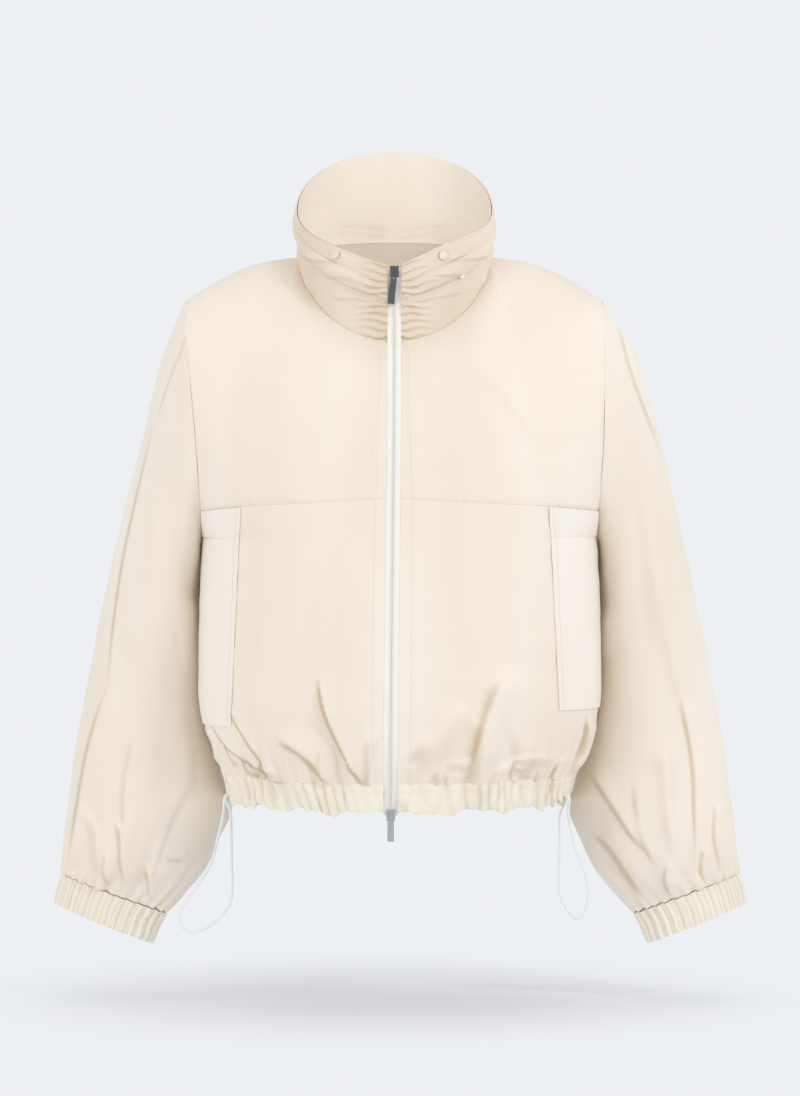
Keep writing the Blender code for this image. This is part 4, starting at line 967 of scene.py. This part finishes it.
# Sleeves and cuffs
# Wide sleeves of the same cloth, each laid as one tube and eased into an elastic cuff.
# The cuff's gathers run up into the sleeve.
SLEEVE_CREASES = {
    (LEFT, FRONT): (
        Crease(-200, -66, -240, -170, -3, 5, 2.4, 0.7),
        Crease(-238, -165, -288, -440, 5, 5, 3.4, 0.8),
        Crease(-286, -430, -326, -608, 6, 6, 4.2, 0.8),
        Crease(-308, -548, -296, -618, -8, 5, 3.6, -0.6),
        Crease(-204, -520, -250, -632, 6, 8, 4.0, -0.6),
        Crease(-226, -596, -206, -590, 2, 5, 2.6, 0.5),
        Crease(-206, -230, -210, -440, 3, 14, 2.4, 0.2),
        Crease(-208, -440, -194, -545, -3, 9, -1.6, 0.3),
        Crease(-256, -470, -264, -600, 6, 10, 2.6, 0.6),
        Crease(-276, -560, -270, -624, -2, 5, 3.0, 0.6),
        Crease(-236, -240, -262, -440, 8, 22, 2.2, 0.5),
        Crease(-288, -590, -284, -626, 2, 4, 2.6, 0.5),
        Crease(-246, -604, -240, -640, 2, 4, 2.6, 0.5),
    ),
    (RIGHT, FRONT): (
        Crease(222, -60, 268, -200, 3, 5, 2.4, 0.7),
        Crease(288, -440, 302, -600, -4, 6, 3.8, 0.7),
        Crease(270, -480, 286, -606, 4, 6, 3.6, -0.6),
        Crease(200, -510, 258, -592, 5, 6, 3.4, 0.6),
        Crease(202, -572, 250, -642, -6, 8, 4.4, 0.7),
        Crease(206, -225, 209, -420, -2, 12, 2.0, 0.2),
        Crease(322, -540, 326, -612, 2, 6, 3.2, 0.6),
        Crease(240, -520, 264, -610, 5, 8, 2.6, 0.6),
        Crease(262, -290, 302, -470, 8, 20, 2.6, 0.5),
        Crease(238, -200, 262, -420, -8, 22, 2.2, 0.5),
        Crease(308, -585, 312, -622, 2, 4, 2.8, 0.5),
        Crease(272, -600, 276, -636, 2, 4, 2.6, 0.5),
    ),
    (LEFT, BACK): (
        Crease(-226, -120, -290, -330, 6, 16, 3.0, 0.6),
        Crease(-206, -300, -250, -420, -5, 12, -2.8, 0.4),
        Crease(-214, -520, -258, -630, 5, 8, 4.0, 0.6),
        Crease(-300, -500, -308, -616, 3, 6, 3.4, 0.6),
        Crease(-270, -540, -284, -620, -3, 6, 3.2, 0.6),
        Crease(-244, -240, -268, -460, 8, 22, 2.4, 0.5),
    ),
    (RIGHT, BACK): (
        Crease(232, -120, 294, -320, -6, 16, 3.0, 0.6),
        Crease(212, -310, 258, -440, 5, 12, -2.8, 0.4),
        Crease(224, -520, 264, -630, -5, 8, 4.0, 0.6),
        Crease(312, -490, 320, -612, -3, 6, 3.4, 0.6),
        Crease(284, -545, 296, -620, 3, 6, 3.2, 0.6),
        Crease(250, -250, 276, -470, -8, 22, 2.4, 0.5),
    ),
}


def sleeve_spots(side, rings, turns, cuffed=False):
    ring, turn = np.meshgrid(rings, turns, indexing="ij")
    base = sleeve_point(side, ring, turn)
    out = sleeve_facing(side, ring, turn)
    x, z = base[..., 0], base[..., 2]
    ahead = np.sin(turn)
    calm = eased(ring / 1.2)
    if cuffed:
        height = 0.55 * np.cos(2 * SLEEVE_SIDES * turn + 2 * np.sin(3 * turn))
        height = height - 0.5 * np.cos(math.pi * (ring - CUFF_RING))
        height = height + seam_dip((ring - CUFF_RING) * 15, 3, 1.2) + 0.5 * np.sin(5 * turn + ring)
    else:
        height = crease_height(SLEEVE_CREASES[(side, FRONT)], x, z) * eased(ahead * 3) * calm
        height = height + crease_height(SLEEVE_CREASES[(side, BACK)], x, z) * eased(-ahead * 3) * calm
        height = height + 0.45 * wander(x, z + 0.4 * base[..., 1], 12 + side, 45) * calm
        rising = eased((ring - 9.6) / 2.4) * (0.75 + 0.5 * np.sin(5 * turn + 1))
        height = height + 1.2 * rising * np.cos(19 * turn + 1.5 * np.sin(2 * turn) + 0.5 * (ring - CUFF_RING))
        height = height + seam_dip((CUFF_RING - ring) * 30, 4, 1.2) + seam_dip(ring * 28)
    centre = x.mean(axis=1, keepdims=True)
    reach = (x.max(axis=1, keepdims=True) - x.min(axis=1, keepdims=True)) / 2
    lean = side * (x - centre) / reach
    sagging = 4.0 * np.clip(-lean, 0, 1) ** 2 * eased((ring - 8.8) / 1.5)
    shoulder = 3.0 * side * np.clip(lean, 0, 1) ** 2 * np.exp(-(((ring - 2) / 1.5) ** 2)) * calm
    spots = base + out * (height + sagging + shoulder)[..., None]
    if not cuffed:
        spots[0, :, 0] += side * 0.5 * SEAM
    return spots


whole_turn = np.linspace(0, 2 * math.pi, 251)
for side, side_name in ((LEFT, "left"), (RIGHT, "right")):
    spots = sleeve_spots(side, np.linspace(0, 11.98, 200), whole_turn)
    ahead = np.sin(whole_turn)[None, :]
    # Painted shade on the sleeve's fold flanks that face away from the light, front and back.
    tone = painted_fold_shade(SLEEVE_CREASES[(side, FRONT)], spots[..., 0], spots[..., 2]) * eased(ahead * 3)
    tone = tone + painted_fold_shade(SLEEVE_CREASES[(side, BACK)], spots[..., 0], spots[..., 2]) * eased(-ahead * 3)
    sleeve = shell(
        "sewn_sleeve_" + side_name, spots, (side, 0, 0), shell_look, ("sleeve_" + side_name,),
        tube=True, tone=0.8 * tone,
    )
    # Painted shade in the valleys between the cuff's gathers.
    ribs = np.clip(-np.cos(2 * SLEEVE_SIDES * whole_turn + 2 * np.sin(3 * whole_turn)) - 0.2, 0, 1)
    cuff = shell(
        "sewn_cuff_" + side_name, sleeve_spots(side, np.linspace(12.03, 14, 26), whole_turn, cuffed=True),
        (side, 0, 0), gathered_look, ("cuff_" + side_name,), thick=1.4, tube=True,
        tone=np.tile(0.5 * ribs, (26, 1)),
    )


# Collar
# A tall funnel stand of the same cloth, with a soft rolled layer round it and a stitched band at its rim.
CollarCrease = namedtuple("CollarCrease", "turn height to_turn to_height width depth")
COLLAR_CREASES = (
    CollarCrease(-72, 0.50, -30, 0.86, 3.5, 1.8),
    CollarCrease(-60, 0.40, -24, 0.70, 3.0, 1.4),
    CollarCrease(-40, 0.30, -16, 0.52, 3.0, 1.2),
    CollarCrease(-82, 0.30, -66, 0.05, 5.0, 2.2),
    CollarCrease(84, 0.42, 68, 0.08, 5.0, 2.2),
    CollarCrease(70, 0.56, 30, 0.84, 3.5, 1.8),
    CollarCrease(58, 0.44, 22, 0.72, 3.0, 1.4),
    CollarCrease(44, 0.34, 14, 0.50, 3.0, 1.2),
    CollarCrease(120, 0.50, 165, 0.60, 5.0, 1.6),
    CollarCrease(-125, 0.48, -168, 0.58, 5.0, 1.6),
    CollarCrease(150, 0.20, 175, 0.10, 5.0, 1.4),
    CollarCrease(-140, 0.18, -172, 0.10, 5.0, 1.4),
)
ROLL_LOW, ROLL_TOP = 10 / 18, 14 / 18
COLLAR_MM = 92.0
COLLAR_MM_A_DEGREE = 1.6
BAND_FACE = 2.2  # mm that the band stands out
# Where the snap caps need flat cloth, as degrees round the collar and share of its height
SNAP_SPOTS = ((-35.5, 0.885), (28.5, 0.885))


def collar_creases(turn, height):
    """Lift of the collar's own creases, measured round the collar in mm."""
    total = np.zeros(np.broadcast(turn, height).shape)
    u = np.degrees(turn) * COLLAR_MM_A_DEGREE
    v = height * COLLAR_MM
    for c in COLLAR_CREASES:
        a = np.array([c.turn * COLLAR_MM_A_DEGREE, c.height * COLLAR_MM])
        run = np.array([c.to_turn * COLLAR_MM_A_DEGREE, c.to_height * COLLAR_MM]) - a
        length = float(np.hypot(*run))
        reach = ((u - a[0]) * run[0] + (v - a[1]) * run[1]) / length**2
        t = np.clip(reach, 0, 1)
        aside = ((u - a[0]) * run[1] - (v - a[1]) * run[0]) / length - 3 * t * (1 - t)
        beyond = (reach - t) * length / 4
        total += c.depth * eased(t * 4 + 0.3) * np.exp(-((aside / c.width) ** 2) - beyond**2)
    return total


def collar_spots(heights, lift, folds=1.0, flat_at=()):
    """Collar surface in mm, and a painted shade for each spot where the creased cloth faces down."""
    start = math.asin(ZIP_HALF / NECK_HALF_WIDTH)
    turns = np.concatenate([-np.linspace(start, math.pi, 220), np.linspace(math.pi, start, 220)[1:]])
    height, turn = np.meshgrid(heights, turns, indexing="ij")
    base = collar_point(turn, height)
    from_zip = np.degrees(np.abs(turn)) - ZIP_TURN
    slant = 0.05 * from_zip + 0.25 * np.sin(from_zip * 0.3 + 9 * height + turn)
    ruche = 1.2 * np.exp(-((from_zip / 14) ** 2)) * np.cos(2 * math.pi * (11 * height + slant))
    out = points(np.sin(turn), -np.cos(turn), np.zeros_like(turn))
    calm = 1 - (1 - folds) * eased((height - 0.42) / 0.1)
    creased = calm * (collar_creases(turn, height) + ruche)
    raised = lift(turn, height) + creased
    for flat_turn, flat_height in flat_at:
        away = np.hypot((np.degrees(turn) - flat_turn) * 1.35, (height - flat_height) * COLLAR_MM)
        raised = raised + (np.minimum(raised, BAND_FACE) - raised) * np.exp(-((away / 9) ** 4))
        raised = raised + 0.7 * np.exp(-(((away - 6.3) / 0.9) ** 2))
    base = base + out * raised[..., None]
    base[:, 0, 0], base[:, -1, 0] = -ZIP_HALF, ZIP_HALF
    base[..., 2] -= 0.6 * np.clip(1 - height * 12, 0, 1)
    # Painted shade where the creased cloth faces down.
    overhang = np.gradient(creased, heights * COLLAR_MM, axis=0)
    return base, np.clip(1.5 * overhang - 0.12, 0, 0.8)


# Painted shade: the collar's outer side is coloured darker than the same cloth on the body.
collar_look = cloth_material("collar_polyester_painted_darker", "E4D2BC", "EFE1CE", crumple=0.3, roughness=0.5)
# Painted light: the collar's inner side is coloured lighter than its outer side, against the shade inside the
# collar.
collar_inner_look = cloth_material("collar_inside_painted_lighter", "F3E6D3", "F9EEDE", crumple=0.2, roughness=0.7)


def stand_lift(turn, height):
    return seam_dip(height * COLLAR_MM, 2.5, 0.5)


def roll_lift(turn, height):
    """The soft rolled layer: full in its middle, tucked in at both edges and flat beside the zip."""
    calm = 1 - np.exp(-(((np.degrees(np.abs(turn)) - ZIP_TURN) / 10) ** 2))
    share = (height - ROLL_LOW) / (ROLL_TOP - ROLL_LOW)
    full = np.sin(math.pi * np.clip(share * 0.93, 0, 1)) ** 0.8 * (1 - eased((share - 0.9) / 0.1))
    ahead = 0.15 + 0.85 * np.cos(turn) ** 2
    return 1.8 + full * (1.2 + 4.6 * calm * ahead)


def band_lift(turn, height):
    stitched = seam_dip((height - ROLL_TOP) * COLLAR_MM, 1.4, 0.4)
    stitched = stitched + seam_dip((0.955 - height) * COLLAR_MM, 1.0, 0.5)
    return BAND_FACE + stitched + 0.5 * np.sin(math.pi * np.clip((height - ROLL_TOP) / (1 - ROLL_TOP), 0, 1))


spots, tone = collar_spots(np.linspace(0, 1, 90), stand_lift, folds=0.1)
stand = shell(
    "sewn_collar_stand", spots, (0, 1, 0), collar_look, ("collar_stand",), tone=tone,
    inner=collar_inner_look,
)
spots, tone = collar_spots(np.linspace(ROLL_LOW, ROLL_TOP, 32), roll_lift)
roll = shell("sewn_collar_roll", spots, (0, 1, 0), collar_look, ("collar_roll",), tone=tone)
spots, tone = collar_spots(np.linspace(ROLL_TOP, 1, 32), band_lift, folds=0.5, flat_at=SNAP_SPOTS)
band = shell(
    "sewn_collar_band", spots, (0, 1, 0), collar_look, ("collar_band",), thick=1.4, tone=tone
)


# Zip
# Two woven tapes sewn to the fronts and a closed nylon coil between them, from the collar to the hem.
# The sliders and pull tabs stay as the solids: gunmetal at the top, satin nickel at the bottom.
def zip_line(low_z, top_z, count):
    """The zip's middle line in mm, from top_z down to low_z, as rows of x, y, z."""
    rows = np.linspace(0.4, 28, 120)
    body = body_point(FRONT, RIGHT, rows, np.zeros_like(rows), folded=False)
    collar_z = np.array([RIM_MID_Z - RIM_TILT, -30, -60])
    z = np.concatenate([collar_z, body[:, 2]])
    y = np.concatenate([np.full(3, rim_point(np.array(0.0))[1]), body[:, 1]])
    wanted = np.linspace(top_z, low_z, count)
    deep = np.interp(-wanted, -z, y)
    return points(zip_x(wanted), deep, wanted)


def tape_material():
    """Woven polyester tape: a herringbone of fine ribs that reads as a soft band beside the teeth."""
    made, tree, shader = new_material(
        "woven_zip_tape", (("Roughness", 0.75), ("Base Color", linear("F8F5EC")))
    )
    woven = add_node(tree, "ShaderNodeTexCoord").outputs["UV"]
    wave = add_node(
        tree, "ShaderNodeTexWave", (("bands_direction", "DIAGONAL"), ("Scale", 380.0)), (("Vector", woven),)
    )
    raised_by(tree, shader, 0.5, 0.0003, wave.outputs["Color"])
    return made


def coil_material():
    """Cream nylon, smoother and a little shinier than the cloth, so the teeth show as small bright beads."""
    made, tree, shader = new_material("nylon_coil", (("Roughness", 0.35), ("Subsurface Weight", 0.1)))
    place = add_node(tree, "ShaderNodeTexCoord").outputs["Object"]
    noise = add_node(tree, "ShaderNodeTexNoise", (("Scale", 60.0),), (("Vector", place),))
    two_tone(tree, shader, "F1EDE2", "FAF8F1", noise.outputs[0])
    return made


tape_look = tape_material()
line = zip_line(-545.5, -11.5, 260)
for side, side_name in ((LEFT, "left"), (RIGHT, "right")):
    across = np.linspace(0.02, 6.9, 12)
    spots = line[:, None, :] + points(side * across, np.full(12, 0.45), np.zeros(12))[None]
    spots[..., 1] += 0.15 * np.sin(line[:, 2] * 0.5)[:, None] * (across > 5)
    tape = shell(
        "woven_tape_" + side_name, spots, (0, -1, 0), tape_look, ("zip_tape_" + side_name,),
        thick=0.6,
    )
    yoke, lower = fronts[side]


def along_line(name, spots, pitch, form_size, look, nodes=(), body="garment"):
    """A row of one small rounded form repeated along points in mm, as stitches and zip teeth are."""
    bpy.ops.object.select_all(action="DESELECT")
    bpy.ops.curve.primitive_bezier_curve_add()
    guide = bpy.context.object
    guide.data.splines.clear()
    guide.data.dimensions = "3D"
    guide.data.twist_mode = "Z_UP"
    spline = guide.data.splines.new("POLY")
    spline.points.add(len(spots) - 1)
    for point, spot in zip(spline.points, spots):
        point.co = (*(np.array(spot) * MM), 1)
    bpy.ops.object.select_all(action="DESELECT")
    bpy.ops.mesh.primitive_uv_sphere_add(segments=6, ring_count=4, radius=0.5)
    made = bpy.context.object
    made.name = name
    made.scale = np.array(form_size) * MM
    made.location = (pitch / 2 * MM, 0, 0)
    bpy.ops.object.transform_apply(location=True, rotation=False, scale=True)
    length = float(np.linalg.norm(np.diff(spots, axis=0), axis=1).sum())
    repeat = made.modifiers.new("row", "ARRAY")
    repeat.use_relative_offset = False
    repeat.use_constant_offset = True
    repeat.constant_offset_displace = (pitch * MM, 0, 0)
    repeat.count = max(2, int(length / pitch))
    bend = made.modifiers.new("along", "CURVE")
    bend.object = guide
    bpy.ops.object.modifier_apply(modifier=repeat.name)
    bpy.ops.object.modifier_apply(modifier=bend.name)
    bpy.ops.object.shade_smooth()
    bpy.data.objects.remove(guide, do_unlink=True)
    made.data.materials.append(look)
    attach(made, body)
    if nodes:
        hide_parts(*nodes)
    return made


coil_look = coil_material()
teeth_line = zip_line(-542, -19.5, 300) + np.array([0, -0.5, 0])
for side, side_name in ((LEFT, "left"), (RIGHT, "right")):
    row = teeth_line + np.array([side * 0.75, 0, 0.35 * side])
    along_line(
        "coil_teeth_" + side_name, row, 1.3, (0.85, 1.7, 1.5), coil_look,
        ("zip_coil",) if side == LEFT else (),
    )


# Seam stitches
# Polyester thread in the cloth's own colour: lockstitch rows, one stitch each 3 mm, sunk a little into the
# cloth along the zip, the cross seam and the welts' inner edges.
def thread_material():
    """Slightly glossy cream thread with a twist along it."""
    made, tree, shader = new_material("sewing_thread", (("Roughness", 0.45), ("Sheen Weight", 0.2)))
    place = add_node(tree, "ShaderNodeTexCoord").outputs["Object"]
    wave = add_node(tree, "ShaderNodeTexWave", (("Scale", 700.0),), (("Vector", place),))
    two_tone(tree, shader, "E2D3BC", "F0E4D2", wave.outputs["Color"])
    return made


thread_look = thread_material()
STITCH = (2.1, 0.42, 0.42)
STITCH_PITCH = 3.0
BESIDE_ZIP = 0.022  # share of a front's width


def torso_line(face, side, rows, across, creases, lift, extra=None):
    """Points in mm along the torso for a stitch row, a little above the creased cloth."""
    base = body_point(face, side, rows, across)
    out = body_facing(face, side, rows, across)
    height = crease_height(creases, base[..., 0], base[..., 2])
    height = height + 0.35 * wander(base[..., 0], base[..., 2], 3 + side + face, 42) + lift
    if extra is not None:
        height = height + extra(rows, across, base[..., 0], base[..., 2])
    return base + out * height[..., None]


for side, side_name in ((LEFT, "left"), (RIGHT, "right")):
    for seam_name, rows, across, extra in (
        ("yoke_", np.full(260, 10.86), np.linspace(0.03, 0.985, 260), yoke_extra),
        ("zip_low_", np.linspace(11.1, 25.8, 300), np.full(300, BESIDE_ZIP), lower_extra(side)),
        ("zip_top_", np.linspace(0.4, 10.8, 240), np.full(240, BESIDE_ZIP), yoke_extra),
    ):
        along_line(
            "stitches_" + seam_name + side_name,
            torso_line(FRONT, side, rows, across, FRONT_CREASES, 0.12, extra),
            STITCH_PITCH, STITCH, thread_look,
        )
    rows = np.linspace(11.1, WELT_END_ROW[side] - 0.1, 200)
    place = welt_across(side, rows, np.array([0.0, 0.055]))[:, 1]
    base = body_point(FRONT, side, rows, place)
    out = body_facing(FRONT, side, rows, place)
    height = 1.62 + 0.9 * np.maximum(crease_height(FRONT_CREASES, base[..., 0], base[..., 2]), -0.5)
    height = height + 0.2 * wander(base[..., 0], base[..., 2], 8, 30)
    along_line(
        "stitches_welt_" + side_name, base + out * height[..., None],
        STITCH_PITCH, STITCH, thread_look,
    )


# Hardware
# Cast zinc sliders and tabs, moulded snap caps and sewn eyelets: the solids themselves, with their finishes.
def metal_material(name, dark, light, roughness):
    """Plated metal with a brushed grain and slight wear, so it isn't a flat grey."""
    made, tree, shader = new_material(name, (("Metallic", 1.0), ("Roughness", roughness)))
    place = add_node(tree, "ShaderNodeTexCoord").outputs["Object"]
    drawn = add_node(tree, "ShaderNodeMapping", (("Scale", (1.0, 1.0, 0.08)),), (("Vector", place),))
    grain = add_node(
        tree, "ShaderNodeTexNoise", (("Scale", 1500.0), ("Detail", 3.0)), (("Vector", drawn.outputs[0]),)
    )
    two_tone(tree, shader, dark, light, grain.outputs[0])
    raised_by(tree, shader, 0.25, 0.0001, grain.outputs[0])
    return made


def cap_material():
    """Moulded cream plastic with a soft gloss."""
    made, tree, shader = new_material("moulded_snap_cap", (("Roughness", 0.3), ("Coat Weight", 0.3)))
    place = add_node(tree, "ShaderNodeTexCoord").outputs["Object"]
    noise = add_node(tree, "ShaderNodeTexNoise", (("Scale", 400.0),), (("Vector", place),))
    two_tone(tree, shader, "E3D8C6", "F0E7D8", noise.outputs[0])
    return made


gunmetal = metal_material("gunmetal_plate", "55555A", "7A7A7C", 0.32)
nickel = metal_material("satin_nickel", "A4A6A8", "C9CBCC", 0.28)
snap_look = cap_material()
for node_name, look in (
    ("top_slider", gunmetal), ("top_pull", gunmetal), ("bottom_slider", nickel), ("bottom_pull", nickel),
    ("collar_snap_left", snap_look), ("collar_snap_right", snap_look),
    ("hem_eyelet_left", gathered_look), ("hem_eyelet_right", gathered_look),
):
    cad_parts[node_name].data.materials.clear()
    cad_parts[node_name].data.materials.append(look)
